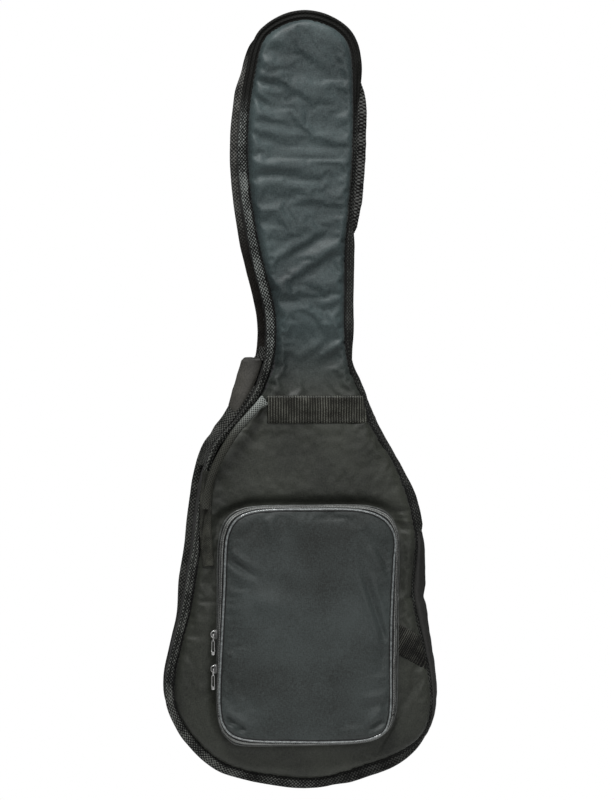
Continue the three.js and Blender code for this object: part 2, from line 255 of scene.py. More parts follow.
def cloth_material(name, dark, light, high=None, pitch=1.15):
    """Plain-weave polyester: crossed threads, melange, crumple, and broad patches, partly of tone and partly
    of painted sheen.

    high is the pair of colours that takes over on the neck and the head, if there is one: lighter and bluer,
    they paint the light and reflection that fall there.
    """
    material, tree, at = new_material(name, roughness=0.52, sheen=0.03, specular=0.28)
    stretched = node(tree, "Mapping", None, Vector=at, Scale=(1.0, 1.0, 0.35)).outputs["Vector"]
    across = node(tree, "Mapping", None, Vector=at, Scale=(0.35, 1.0, 1.0)).outputs["Vector"]
    threads = times(tree, bands(tree, at, "X", pitch * MM), bands(tree, at, "Z", pitch * MM))
    melange = weighted(tree, (grain(tree, stretched, 1.2 * MM), 1), (grain(tree, across, 1.2 * MM), 1))
    crumple = grain(tree, at, 14 * MM, 4.0)
    # broad patches: partly the cloth's own tone, partly painted sheen
    patches = grain(tree, at, 95 * MM, 3.0)
    tone = weighted(tree, (melange, 0.55), (patches, 1), offset=-0.55)
    colour = ramp(tree, tone, 0.25, dark, 0.8, light)
    if high:
        # painted light: lighter, bluer colours fade in up the neck and head
        lit_neck_and_head_colour = ramp(tree, tone, 0.25, high[0], 0.8, high[1])
        colour = mix(tree, fade_in(tree, 520, 640), colour, lit_neck_and_head_colour)
    height = weighted(tree, (threads, 0.25), (melange, 1), (crumple, 1.5))
    return finish_material(material, colour, height, strength=0.35, distance=0.4 * MM)


def woven_squares(tree, vector, cell):
    """Small squares, light and dark by turns: 0 to 1, with each pair of squares one cell long."""
    warp, weft = (weighted(tree, (bands(tree, vector, way, cell, 0.5), 1), offset=-0.5) for way in "XY")
    return weighted(tree, (times(tree, warp, weft), 2.0), offset=0.5)


def tape_material(name, dark, light, cell, contrast=1.0, cover=0.5, seam_shade=False, rib=0, zones=()):
    """Woven tape: small squares, a salt-and-pepper of lighter threads, and worn and dark stretches.

    cover is the share of light threads. seam_shade darkens the tape beside its seam. rib is the
    pitch of the ribs that cross it, if it has any. Each zone is an axis, the two places between
    which the tape turns into another one, that one's two colours, and whether it is plain; some zones paint
    shade.
    """
    material, tree, uv = new_material(name, roughness=0.7, space="UV", specular=0.12)
    squares = woven_squares(tree, uv, cell)
    speckle = grain(tree, uv, 2.2, 3.0)
    drift = grain(tree, uv, 24.0, 3.0)
    tone = weighted(tree, (squares, 1.1 * contrast), (speckle, 1.5 * contrast), (drift, 1.2),
                    offset=cover - 0.6 - 1.3 * contrast)
    if rib:
        tone = weighted(tree, (bands(tree, uv, "X", rib), 0.75), (tone, 1), offset=-0.35 * 0.75)
    if seam_shade:
        across = node(tree, "SeparateXYZ", None, Vector=uv).outputs["Y"]
        shade = node(tree, "MapRange", None, i0=across, i1=1.5, i2=5.0, i3=-0.5, i4=0.0).outputs[0]
        tone = weighted(tree, (shade, 1), (tone, 1))
    colour = ramp(tree, tone, 0.38, dark, 0.85, light)
    plain_tone = weighted(tree, (speckle, 0.6), (drift, 0.4))
    for axis, low, high, zone_dark, zone_light, plain in zones:
        if plain:
            zone = ramp(tree, plain_tone, 0.3, zone_dark, 0.75, zone_light)
        else:
            zone = ramp(tree, tone, 0.38, zone_dark, 0.85, zone_light)
        colour = mix(tree, fade_in(tree, low, high, axis), colour, zone)
    height = weighted(tree, (squares, 1), (speckle, 1))
    return finish_material(material, colour, height, strength=0.7, distance=0.6 * MM)


def handle_material(name, dark, light, shaded_dark, shaded_light):
    """Webbing woven in two shades, which shows as small squares, and is darker towards its foot: painted
    shade where it lies in shadow.
    """
    material, tree, uv = new_material(name, roughness=0.6, space="UV", specular=0.2)
    tone = weighted(tree, (woven_squares(tree, uv, 4.2), 1.2), (grain(tree, uv, 1.8), 0.6))
    lower = ramp(tree, tone, 0.6, shaded_dark, 1.0, shaded_light)
    # painted shade: the darker colours take over on the handle's lower part
    colour = mix(tree, fade_in(tree, 475, 548), lower, ramp(tree, tone, 0.6, dark, 1.0, light))
    return finish_material(material, colour, tone, strength=0.6, distance=0.5 * MM)


def smooth_material(name, dark, light, roughness, size=6.0, bump=0.15, **shine):
    """Moulded or plated stuff: fine scuffs over a nearly even colour."""
    material, tree, at = new_material(name, roughness, **shine)
    fine = grain(tree, at, 0.6 * MM)
    wear = weighted(tree, (fine, 0.3), (grain(tree, at, size * MM, 5.0), 0.7))
    colour = ramp(tree, wear, 0.35, dark, 0.65, light)
    return finish_material(material, colour, fine, strength=bump, distance=0.1 * MM)


def foam_material():
    material, tree, at = new_material("foam", roughness=0.9, specular=0.2)
    cells = node(tree, "TexVoronoi", None, Vector=at, Scale=1 / (1.2 * MM)).outputs["Distance"]
    colour = ramp(tree, cells, 0.0, (0.16, 0.16, 0.155), 0.7, (0.3, 0.3, 0.29))
    return finish_material(material, colour, cells, strength=0.7, distance=0.4 * MM)


def floor_material():
    material, tree, at = new_material("pale_floor", roughness=0.9, specular=0.1)
    colour = ramp(tree, grain(tree, at, 0.4), 0.0, (0.93, 0.93, 0.93), 1.0, (0.96, 0.96, 0.96))
    tree.links.new(colour, tree.nodes["Principled BSDF"].inputs["Base Color"])
    return material


# The shell's second pair of colours, lighter and bluer, is painted light and reflection on the neck and head.
SHELL = cloth_material("shell_cloth", (0.0095, 0.0107, 0.0084), (0.0365, 0.0395, 0.0312),
                       ((0.013, 0.0195, 0.0205), (0.056, 0.077, 0.078)))
POCKET = cloth_material("pocket_cloth", (0.0115, 0.0134, 0.012), (0.0425, 0.0515, 0.0505))
# Painted shade: a darker copy of the cloth for the gussets, which lie in shade along the bag's sides.
SHADE = cloth_material("gusset_cloth", (0.006, 0.006, 0.0055), (0.026, 0.026, 0.024))
TAUPE = cloth_material("taupe_cloth", (0.020, 0.0195, 0.017), (0.085, 0.081, 0.071))
LINING = cloth_material("lining_cloth", (0.01, 0.01, 0.011), (0.022, 0.022, 0.024), pitch=0.7)
# Near-black cloth: painted shadow in the pocket's walls and in the groove inside its face's piping.
SHADOW_CLOTH = cloth_material("painted_shadow_cloth", (0.002, 0.002, 0.002), (0.008, 0.008, 0.008))
# Near-black plain tape colours: painted shade on the front tape up the neck, and the back tape's darker
# stretch at the head's top.
NEAR_BLACK_ZONE = ((0.003, 0.003, 0.0025), (0.008, 0.008, 0.007), True)
BINDING = tape_material(
    "binding_tape", (0.004, 0.0042, 0.004), (0.12, 0.125, 0.115), 5.0, cover=0.42, seam_shade=True,
    zones=[("Z", 570, 620, (0.003, 0.0032, 0.003), (0.2, 0.215, 0.205), False),
           # painted shade: the tape is darker on the bag's right, the side turned away from the key light
           ("X", 0, 30, (0.005, 0.0052, 0.0048), (0.055, 0.057, 0.053), False),
           # painted shade: the front tape turns near-black up the neck and head, where it lies in shadow
           ("Z", 905, 955, *NEAR_BLACK_ZONE)])
BACK_BINDING = tape_material(
    "back_binding_tape", (0.007, 0.0072, 0.0065), (0.085, 0.087, 0.08), 5.0, cover=0.47,
    zones=[("Z", 560, 600, (0.007, 0.0065, 0.006), (0.034, 0.030, 0.026), True),
           ("Z", 735, 800, (0.016, 0.016, 0.015), (0.14, 0.14, 0.13), False),
           ("Z", 1000, 1022, *NEAR_BLACK_ZONE)])
ZIP_TAPE = tape_material("zip_tape", (0.004, 0.004, 0.0036), (0.1, 0.102, 0.097), 5.0, cover=0.47)
WEBBING = tape_material("webbing", (0.011, 0.011, 0.009), (0.105, 0.107, 0.09), 2.4,
                        contrast=0.5, cover=0.2, rib=3.8)
LOW_WEBBING = tape_material("low_webbing", (0.005, 0.005, 0.0045), (0.062, 0.063, 0.053), 2.4,
                            contrast=0.5, cover=0.2, rib=3.0)
END_BAND = tape_material("handle_end_webbing", (0.011, 0.0115, 0.0095), (0.072, 0.073, 0.06), 2.6,
                         contrast=0.4)
PIPING_TAPE = tape_material("piping_tape", (0.07, 0.071, 0.068), (0.28, 0.29, 0.28), 3.0,
                            contrast=0.6, cover=0.75)
# The second pair of colours is painted shade on the handle's lower part.
HANDLE = handle_material("handle_webbing", (0.006, 0.007, 0.0065), (0.25, 0.27, 0.255),
                         (0.008, 0.0083, 0.007), (0.05, 0.051, 0.042))
STITCH = smooth_material("thread", (0.012, 0.012, 0.011), (0.06, 0.06, 0.056), 0.7, 2.0, specular=0.15)
COIL = smooth_material("zip_coil", (0.008, 0.008, 0.008), (0.02, 0.02, 0.02), 0.35)
PIPING = smooth_material("piping", (0.06, 0.065, 0.065), (0.24, 0.26, 0.26), 0.24, 4.0, coat=0.8)
REAR_PIPING = smooth_material("rear_piping", (0.03, 0.032, 0.03), (0.08, 0.085, 0.08), 0.4, 2.0,
                              coat=0.15)
SLIDER_METAL = smooth_material("slider_metal", (0.16, 0.16, 0.158), (0.34, 0.34, 0.335), 0.35,
                               metallic=0.7)
METAL = smooth_material("zip_metal", (0.5, 0.5, 0.49), (0.85, 0.85, 0.84), 0.3, bump=0.05, metallic=0.7)
PLASTIC = smooth_material("buckle_plastic", (0.012, 0.012, 0.012), (0.022, 0.022, 0.022), 0.38, bump=0.1)
FOAM = foam_material()


# ---------------------------------------------------------------- lines and lofts

def along(points, closed=False):
    """Distance along a line of points; a closed line has one more entry, its whole length."""
    ends = np.roll(points, -1, axis=0) if closed else points[1:]
    starts = points if closed else points[:-1]
    return np.concatenate([[0], np.cumsum(np.linalg.norm(ends - starts, axis=1))])


def evenly(points, step, closed=False):
    """The same line with points a step apart."""
    points = np.asarray(points, float)
    stations = along(points, closed)
    knots = np.vstack([points, points[:1]]) if closed else points
    count = max(2, round(stations[-1] / step))
    wanted = np.linspace(0, stations[-1], count + 1)
    if closed:
        wanted = wanted[:-1]
    return np.stack([np.interp(wanted, stations, knots[:, k]) for k in range(points.shape[1])], axis=1)


def curve(points, closed=False, steps=8):
    """A Catmull-Rom curve through given points."""
    p = np.asarray(points, float)
    if closed:
        p = np.vstack([p[-1:], p, p[:2]])
    else:
        p = np.vstack([2 * p[0] - p[1], p, 2 * p[-1] - p[-2]])
    t = np.linspace(0, 1, steps, endpoint=False)[:, None]
    made = []
    for a, b, c, d in zip(p, p[1:], p[2:], p[3:]):
        made.append(
            0.5 * (2 * b + (c - a) * t + (2 * a - 5 * b + 4 * c - d) * t**2 + (3 * b - a - 3 * c + d) * t**3)
        )
    made = np.vstack(made)
    return made if closed else np.vstack([made, p[-2:-1]])


def unit(vectors):
    return vectors / np.linalg.norm(vectors, axis=-1, keepdims=True)


def headings(line, closed=False):
    """Unit vectors along a line."""
    if closed:
        return unit(np.roll(line, -1, axis=0) - np.roll(line, 1, axis=0))
    return unit(np.gradient(line, axis=0))


def normals(line, closed=False):
    """Unit vectors to the left of a line in the x-z plane: outward on a clockwise outline."""
    tangent = headings(line, closed)
    return np.stack([-tangent[:, 1], tangent[:, 0]], axis=1)


def in_space(flat, y=0.0):
    """(x, z) pairs at a depth, or each at its own, as (x, y, z)."""
    return np.stack(np.broadcast_arrays(flat[..., 0], y, flat[..., 1]), axis=-1)


def circle(sides, power=1.0):
    """Cosines and sines round a circle. A power below 1 makes it squarer."""
    angle = np.linspace(0, TAU, sides, endpoint=False)
    return [np.sign(part) * np.abs(part) ** power for part in (np.cos(angle), np.sin(angle))]


def spread(values, count):
    """A list thinned or stretched to a count, by the nearest value."""
    return values[np.linspace(0, len(values) - 1, count).round().astype(int)]


def plate_outline(name):
    """The edge of a CAD plate's front face, clockwise seen from the front, as (x, z)."""
    bm = bmesh.new()
    bm.from_mesh(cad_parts[name].data)
    bmesh.ops.remove_doubles(bm, verts=bm.verts, dist=0.01 * MM)
    forward = {f for f in bm.faces if f.normal.y < -0.9}
    edges = [e for e in bm.edges if sum(f in forward for f in e.link_faces) == 1]
    beside = {}
    for e in edges:
        for v in e.verts:
            beside.setdefault(v, []).append(e.other_vert(v))
    start = max(beside, key=lambda v: v.co.z)
    line, before = [start], None
    while True:
        onward = [v for v in beside[line[-1]] if v is not before]
        before = line[-1]
        if onward[0] is start:
            break
        line.append(onward[0])
    places = (np.array([v.co for v in line]) - ORIGIN) / MM
    bm.free()
    line = places[:, [0, 2]]
    ahead = np.roll(line, -1, axis=0)
    clockwise = np.sum(line[:, 0] * ahead[:, 1] - ahead[:, 0] * line[:, 1]) < 0
    return line if clockwise else line[::-1]


def sweep(line, profile, closed=True):
    """Rings that carry a profile of (outward, y) points along a line in the x-z plane.

    The profile is one list of points, or an array with a list for each point of the line.
    """
    profile = np.asarray(profile, float)
    if profile.ndim == 2:
        profile = np.broadcast_to(profile, (len(line), *profile.shape))
    flat = line[:, None] + normals(line, closed)[:, None] * profile[..., :1]
    return in_space(flat, profile[..., 1])


def beside(line, outward, y, closed=True):
    """The line moved outward and to a depth, which may differ from point to point."""
    profile = np.stack(np.broadcast_arrays(outward, y, line[:, 0])[:2], axis=-1)
    return sweep(line, profile[:, None], closed)[:, 0]


def rings_round(path, side, rise, sides, power=1.0):
    """Rings round a path; side and rise are the half axes of each ring."""
    c, s = circle(sides, power)
    return path[:, None] + side[:, None] * c[None, :, None] + rise[:, None] * s[None, :, None]


def loft(rings, closed_path=False, closed_profile=True):
    """Faces over rings of points, and each face corner's (along, around) in millimetres."""
    count, around = rings.shape[:2]
    spans = count if closed_path else count - 1
    sides = around if closed_profile else around - 1
    i, j = np.divmod(np.arange(spans * sides), sides)
    u = along(rings.mean(axis=1), closed_path)
    v = along(rings[count // 2], closed_profile)
    i1, j1 = i + 1, j + 1
    quads = [(i, j), (i1, j), (i1, j1), (i, j1)]
    faces = np.stack([(a % count) * around + b % around for a, b in quads], axis=1)
    uv = np.stack([np.stack([u[a], v[b]], axis=1) for a, b in quads], axis=1).reshape(-1, 2)
    faces = faces.tolist()
    if closed_profile and not closed_path:
        faces += [list(range(around)), list(range((count - 1) * around, count * around))]
        uv = np.vstack([uv, np.zeros((2 * around, 2))])
    return faces, uv


def add_mesh(name, points, faces, material, uv=None, smooth_angle=None):
    mesh = bpy.data.meshes.new(name)
    mesh.from_pydata(metres(points).tolist(), [], faces)
    if uv is not None:
        mesh.uv_layers.new(name="UVMap").data.foreach_set("uv", np.asarray(uv, float).ravel())
    mesh.materials.append(material)
    mesh.shade_smooth()
    bm = bmesh.new()
    bm.from_mesh(mesh)
    bmesh.ops.recalc_face_normals(bm, faces=bm.faces)
    bm.to_mesh(mesh)
    bm.free()
    if smooth_angle:
        mesh.set_sharp_from_angle(angle=math.radians(smooth_angle))
    return add_object(name, mesh)


def add_loft(name, rings, material, closed_path=False, closed_profile=True, smooth_angle=None):
    faces, uv = loft(rings, closed_path, closed_profile)
    return add_mesh(name, rings.reshape(-1, 3), faces, material, uv, smooth_angle)


def thicken(piece, thickness, offset=-1.0):
    solidify = piece.modifiers.new("thickness", "SOLIDIFY")
    solidify.thickness = thickness * MM
    solidify.offset = offset


def subdivide(piece):
    modifier = piece.modifiers.new("smooth", "SUBSURF")
    modifier.levels = modifier.render_levels = 1


def apply_modifiers(piece):
    """Puts what a piece's modifiers do into its mesh."""
    bpy.context.view_layer.update()
    evaluated = piece.evaluated_get(bpy.context.evaluated_depsgraph_get())
    mesh = bpy.data.meshes.new_from_object(evaluated)
    piece.modifiers.clear()
    piece.data = mesh


def join(parts, name):
    """One object from several meshes."""
    bm = bmesh.new()
    for part in parts:
        bm.from_mesh(part.data)
    mesh = bpy.data.meshes.new(name)
    bm.to_mesh(mesh)
    bm.free()
    mesh.materials.append(parts[0].data.materials[0])
    for part in parts:
        bpy.data.objects.remove(part)
    return add_object(name, mesh)


def add_copies(name, path, up, points, faces, material):
    """One mesh of many copies of a small shape along a path: forward, sideways, and up off the cloth."""
    forward = headings(path)
    side = unit(np.cross(spread(up, len(path)), forward))
    frames = np.stack([forward, side, np.cross(forward, side)], axis=1)
    placed = path[:, None] + np.asarray(points, float) @ frames
    shift = np.arange(len(path))[:, None, None] * len(points)
    faces = (np.asarray(faces)[None] + shift).reshape(-1, len(faces[0]))
    return add_mesh(name, placed.reshape(-1, 3), faces.tolist(), material)


STITCH_POINTS = [(-1.5, 0, -0.1), (0, 0.33, 0), (0, 0, 0.42), (0, -0.33, 0), (0, 0, -0.3), (1.5, 0, -0.1)]
STITCH_FACES = [(0, 1, 2), (0, 2, 3), (0, 3, 4), (0, 4, 1), (5, 2, 1), (5, 3, 2), (5, 4, 3), (5, 1, 4)]


def add_stitches(name, path, up, body, pitch=4.2, closed=False, material=STITCH):
    """A row of thread stitches along a path, standing off the cloth in the up direction."""
    up = np.atleast_2d(np.asarray(up, float))
    piece = add_copies(name, evenly(path, pitch, closed), up, STITCH_POINTS, STITCH_FACES, material)
    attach(piece, body)


def smoothstep(low, high, value):
    t = np.clip((value - low) / (high - low), 0, 1)
    return t * t * (3 - 2 * t)


def between(value, *places):
    """Rises from 0 to 1 over the first two places, and falls back over the last two."""
    return smoothstep(places[0], places[1], value) * (1 - smoothstep(places[2], places[3], value))


LATTICE = np.random.default_rng(11).uniform(-1, 1, (32, 32, 32))


def wander(places, size, seed=0.0):
    """Smooth noise, about -1 to 1, at each of the places: two octaves of a random lattice."""
    places = np.asarray(places, float)
    spot = np.zeros((len(places), 3))
    spot[:, :places.shape[1]] = places / size
    spot[:, 2] += seed * 1.37
    total = np.zeros(len(places))
    for share, scale, shift in ((1.25, 1.0, 0.31), (0.5, 1.93, 9.7)):
        at = spot * scale + shift
        cell = np.floor(at).astype(int)
        t = at - cell
        t = t * t * (3 - 2 * t)
        for corner in range(8):
            pick = np.array([corner >> k & 1 for k in range(3)])
            weight = np.prod(np.where(pick, t, 1 - t), axis=1)
            index = (cell + pick) % len(LATTICE)
            total += share * weight * LATTICE[index[:, 0], index[:, 1], index[:, 2]]
    return total


SEAM = evenly(curve(plate_outline("front_panel_fabric"), closed=True, steps=6), 1.0, closed=True)


# ---------------------------------------------------------------- pocket outlines and folds

POCKET_REAR_Y = bag_box("pocket_piping_rear")[1][1]
POCKET_SPLIT_Y = (bag_box("pocket_zip_coil_rear")[0][1] + bag_box("pocket_zip_coil_front")[1][1]) / 2
POCKET_FRONT_Y = bag_box("pocket_face")[0][1]

# Outlines of the pocket, clockwise from the top's middle: where it is sewn down, and its face.
REAR_OUTLINE = [
    (0, 386), (60, 386), (92, 383), (113, 373), (124, 353), (126.5, 325), (126, 260), (125, 180),
    (123.5, 115), (117, 86), (104, 71), (84, 63), (40, 60.5), (-40, 61), (-92, 63), (-109, 71),
    (-120, 87), (-124.5, 112),
    (-125.5, 180), (-124.5, 260), (-123.5, 325), (-119, 355), (-108, 373), (-88, 383), (-55, 386),
]
FACE_OUTLINE = [
    (0, 383), (50, 382.5), (83, 377), (105, 364), (115.5, 342), (114, 310), (110.5, 240), (109.5, 170),
    (109.5, 120),
    (107, 94), (98, 77), (74, 68.5), (30, 67), (-40, 69.5), (-84, 72.5), (-109, 80), (-122, 96), (-126, 118),
    (-126, 150), (-123, 210), (-119.5, 280), (-118, 326), (-114.5, 351), (-103.5, 370), (-82, 380),
    (-45, 383),
]
# Folds of the pocket's face: start (deepest), end, width, depth. A negative depth is a ridge.
FACE_FOLDS = [
    ((-118, 319), (-70, 288), 5, 4.2),
    ((-78, 262), (-20, 250), 13, -1.8),
    ((101, 208), (66, 310), 5, 5.0),
    ((84, 330), (104, 270), 8, -1.6),
    ((-122, 104), (-74, 74), 4.5, 5.0),
    ((-117, 86), (-92, 100), 5, -2.4),
    ((-100, 78), (-84, 90), 4, -2.0),
    ((102, 92), (70, 78), 4.5, 4.2),
    ((96, 110), (72, 88), 6, -2.2),
    ((40, 80), (84, 82), 6, -1.6),
    ((106, 128), (60, 124), 6, -1.6),
    ((-60, 372), (-48, 330), 9, -1.8),
]
POCKET_BOX = np.min(REAR_OUTLINE, axis=0), np.max(REAR_OUTLINE, axis=0)


# ---------------------------------------------------------------- padded panels

SEAM_Y = bag_box("front_binding")[1][1]        # the front seam's plane; the back one mirrors it
PANEL_STEP = 2.7
BODY_RISE, NECK_RISE = 8.2, 13.0       # how far the padding stands out from the seam's plane
EDGE_ROLL = 14.0                       # over this width the padding rolls down to the seam


def edge_distance(points, outline):
    """Each (x, z) point's distance to a closed outline."""
    line = evenly(outline, 0.8, closed=True)
    tree = KDTree(len(line))
    for index, (x, z) in enumerate(line):
        tree.insert((x, z, 0), index)
    tree.balance()
    return np.array([tree.find((x, z, 0))[2] for x, z in points])


def crossings(outline, z):
    """Where an outline crosses a height, in order."""
    ahead = np.roll(outline, -1, axis=0)
    over = (outline[:, 1] > z) != (ahead[:, 1] > z)
    a, b = outline[over], ahead[over]
    return np.sort(a[:, 0] + (z - a[:, 1]) / (b[:, 1] - a[:, 1]) * (b[:, 0] - a[:, 0]))


def filled(outline, spacing):
    """Points and triangles over the inside of an outline, and each point's distance to it."""
    low, high = outline.min(axis=0), outline.max(axis=0)
    grid = []
    for k, z in enumerate(np.arange(low[1] + spacing / 2, high[1], spacing * 0.866)):
        ends = crossings(outline, z)
        for left, right in zip(ends[::2], ends[1::2]):
            first = math.ceil(left / spacing) + (k % 2) / 2
            xs = np.arange(first * spacing, right, spacing)
            grid.append(np.stack([xs, np.full_like(xs, z)], axis=1))
    grid = np.vstack(grid)
    grid = grid[edge_distance(grid, outline) > spacing * 0.6]
    points = [Vector(p) for p in np.vstack([outline, grid])]
    edges = [(i, (i + 1) % len(outline)) for i in range(len(outline))]
    points, _, faces, *_ = geometry.delaunay_2d_cdt(points, edges, [], 1, 1e-6)
    points = np.array([tuple(p) for p in points])
    return points, faces, edge_distance(points, outline)


def crease(points, start, end, width, depth):
    """Height of a fold from start, where it is deepest, to end. A negative depth is a ridge."""
    start, end = np.array(start, float), np.array(end, float)
    length = np.linalg.norm(end - start)
    forward = (end - start) / length
    offset = points - start
    t = offset @ forward / length
    across = (offset @ np.array([-forward[1], forward[0]])) / width
    shape = np.exp(-across**2)
    shape -= 0.45 * np.exp(-((across - 1.9) / 1.1) ** 2)
    shape -= 0.3 * np.exp(-((across + 1.9) / 1.2) ** 2)
    return -depth * shape * between(t, -0.15, 0.1, 0.35, 1.05)


# Folds of the front panel, as those of the pocket's face.
FRONT_FOLDS = [
    ((-64, 1026), (-30, 993), 7, 1.8),
    ((-70, 1000), (-35, 985), 6, -1.3),
    ((-76, 971), (-28, 960), 5, 2.9),
    ((-77, 951), (-52, 932), 3.5, 2.7),
    ((-80, 926), (-30, 920), 7, -1.8),
    ((-74, 894), (-30, 880), 8, 1.9),
    ((-80, 856), (5, 854), 8, -2.1),
    ((45, 886), (5, 902), 8, -1.2),
    ((-82, 838), (-20, 846), 7, 1.8),
    ((-78, 790), (-30, 800), 8, -1.4),
    ((37, 747), (-47, 684), 7, -2.1),
    ((24, 762), (-40, 718), 6, 1.8),
    ((44, 674), (12, 660), 5, -1.4),
    ((-50, 667), (0, 675), 7, 1.1),
    ((56, 619), (6, 585), 5, -2.9),
    ((17, 612), (-20, 585), 7, -1.4),
    ((56, 600), (10, 570), 7, 1.8),
    ((152, 378), (112, 378), 3.5, 3.0),
    ((153, 362), (114, 366), 3.0, -2.4),
    ((153, 350), (120, 356), 3.0, 2.2),
    ((128, 130), (160, 80), 10, 1.6),
    ((-150, 150), (-128, 60), 12, -1.6),
    ((-60, 30), (60, 34), 9, -1.4),
]


def panel_rise(points, distance, folds, seed, neck_rise):
    """How far a panel stands out from its seam at each point."""
    high = smoothstep(560, 700, points[:, 1])
    full = BODY_RISE + (neck_rise - BODY_RISE) * high
    left_waist = between(points[:, 1], 400, 450, 560, 620) * (points[:, 0] < 0)
    valley = 2.0 + 3.0 * left_waist
    inner = np.clip((distance - valley) / EDGE_ROLL, 0, 1)
    rise = full * np.sqrt(1 - (1 - inner) ** 2)
    rise += 1.1 * wander(points, 60, seed) * inner
    puckers = wander(points * (1.0, 1.6), 17, seed + 5)
    rise += 0.9 * puckers * np.exp(-distance / 16) * np.clip(distance / 4, 0, 1)
    rise += 0.35 * wander(points, 9, seed + 9) * inner
    for fold in folds:
        rise += crease(points, *fold) * inner
    if neck_rise == NECK_RISE:
        rise -= pocket_hollow(points)
    return rise


def pocket_hollow(points):
    """How far the front sinks round the pocket's seam, most of all over its top."""
    low, high = POCKET_BOX
    near = np.all((points > low - 40) & (points < high + 40), axis=1)
    hollow = np.zeros(len(points))
    spots = points[near]
    away = edge_distance(spots, curve(REAR_OUTLINE, closed=True))
    depth = 2.0 + 4.0 * smoothstep(330, 375, spots[:, 1])
    beyond = np.where(inside_outline(spots, curve(REAR_OUTLINE, closed=True)), 0, away)
    hollow[near] = depth * np.exp(-(np.clip(beyond - 3, 0, None) / 8) ** 2)
    return hollow


def inside_outline(points, outline):
    x, z = points.T
    inside = np.zeros(len(points), bool)
    for (x0, z0), (x1, z1) in zip(outline, np.roll(outline, -1, axis=0)):
        if z0 != z1:
            inside ^= ((z0 > z) != (z1 > z)) & (x < x0 + (z - z0) * (x1 - x0) / (z1 - z0))
    return inside


SETTLE_STEP = 6.0
SETTLE_FRAMES = 20
CLOTH_SETTINGS = {"vertex_group_mass": "rim", "quality": 7, "mass": 0.25, "bending_stiffness": 0.15,
                  "use_pressure": True}


def settled(outline, surface, pressure, spare, cap):
    """How cloth held at its rim settles when padding pushes it out: a look-up of each point's move.

    surface gives the (x, y, z) places to start from. spare is the cloth's extra length as a share,
    and cap is the furthest that a point may move.
    """
    points, faces, distance = filled(evenly(outline, SETTLE_STEP, closed=True), SETTLE_STEP)
    start = surface(points, distance)
    piece = add_mesh("settling_cloth", start, faces, SHELL)
    rim = piece.vertex_groups.new(name="rim")
    rim.add(np.flatnonzero(distance < 1.0).tolist(), 1.0, "REPLACE")
    cloth = piece.modifiers.new("cloth", "CLOTH")
    for setting, value in CLOTH_SETTINGS.items():
        setattr(cloth.settings, setting, value)
    cloth.settings.uniform_pressure_force = pressure
    cloth.settings.shrink_min = -spare
    cloth.settings.effector_weights.gravity = 0
    cloth.collision_settings.use_collision = False
    for step in range(1, SETTLE_FRAMES + 1):
        bpy.context.scene.frame_set(step)
    mesh = piece.evaluated_get(bpy.context.evaluated_depsgraph_get()).to_mesh()
    ended = np.empty(3 * len(mesh.vertices))
    mesh.vertices.foreach_get("co", ended)
    bpy.context.scene.frame_set(1)
    bpy.data.objects.remove(piece)
    moves = (ended.reshape(-1, 3) - metres(start)) / MM
    length = np.linalg.norm(moves, axis=1, keepdims=True)
    moves *= cap * np.tanh(length / cap) / np.maximum(length, 1e-6)
    flat = [Vector((x, z, 0)) for x, z in points]
    tree = BVHTree.FromPolygons(flat, faces)
    axes = Vector((1, 0, 0)), Vector((0, 1, 0)), Vector((0, 0, 1))

    def move_at(places):
        found = np.zeros((len(places), 3))
        for k, (x, z) in enumerate(places):
            spot, _, index, _ = tree.find_nearest((x, z, 0))
            corners = faces[index]
            share = geometry.barycentric_transform(spot, *(flat[c] for c in corners), *axes)
            found[k] = np.array(share) @ moves[list(corners)]
        return found

    return move_at


def surface_of(piece):
    """Looks up a panel's depth at (x, z) points, from outside it."""
    bm = bmesh.new()
    bm.from_mesh(piece.data)
    tree = BVHTree.FromBMesh(bm)
    bm.free()

    def look(points, side=-1):
        found = []
        for x, z in points.reshape(-1, 2):
            start = Vector(metres((x, side * 120, z)))
            place = tree.ray_cast(start, Vector((0, -side, 0)))[0] or tree.find_nearest(start)[0]
            found.append((place.y - ORIGIN[1]) / MM)
        return np.reshape(found, points.shape[:-1])

    return look


def add_panel(name, side, folds, seed):
    """The padded outer cloth of a panel, and the layers under it."""
    points, faces, distance = filled(evenly(SEAM, 2.4, closed=True), PANEL_STEP)
    seam_y = SEAM_Y * -side
    neck_rise = NECK_RISE if side < 0 else BODY_RISE

    def surface(spots, from_edge):
        return in_space(spots, seam_y + side * panel_rise(spots, from_edge, folds, seed, neck_rise))

    places = surface(points, distance)
    places += settled(SEAM, surface, pressure=side * -2.5, spare=0.035, cap=3.6)(points)
    panel = add_mesh(f"{name}_padded_cloth", places, faces, SHELL)
    look = surface_of(panel)
    thicken(panel, 1.0)
    assign(panel, PANEL_BODY[side], "shell_cloth", f"{name}_fabric")
    add_inner_layers(name, side, points, faces, distance, (places[:, 1] - seam_y) * side)
    return look


def part_of(faces, wanted):
    """The vertices of the faces whose corners are all wanted, and those faces numbered by them."""
    kept = [f for f in faces if wanted[list(f)].all()]
    used = sorted({v for f in kept for v in f})
    place = {v: k for k, v in enumerate(used)}
    return used, [[place[v] for v in f] for f in kept]


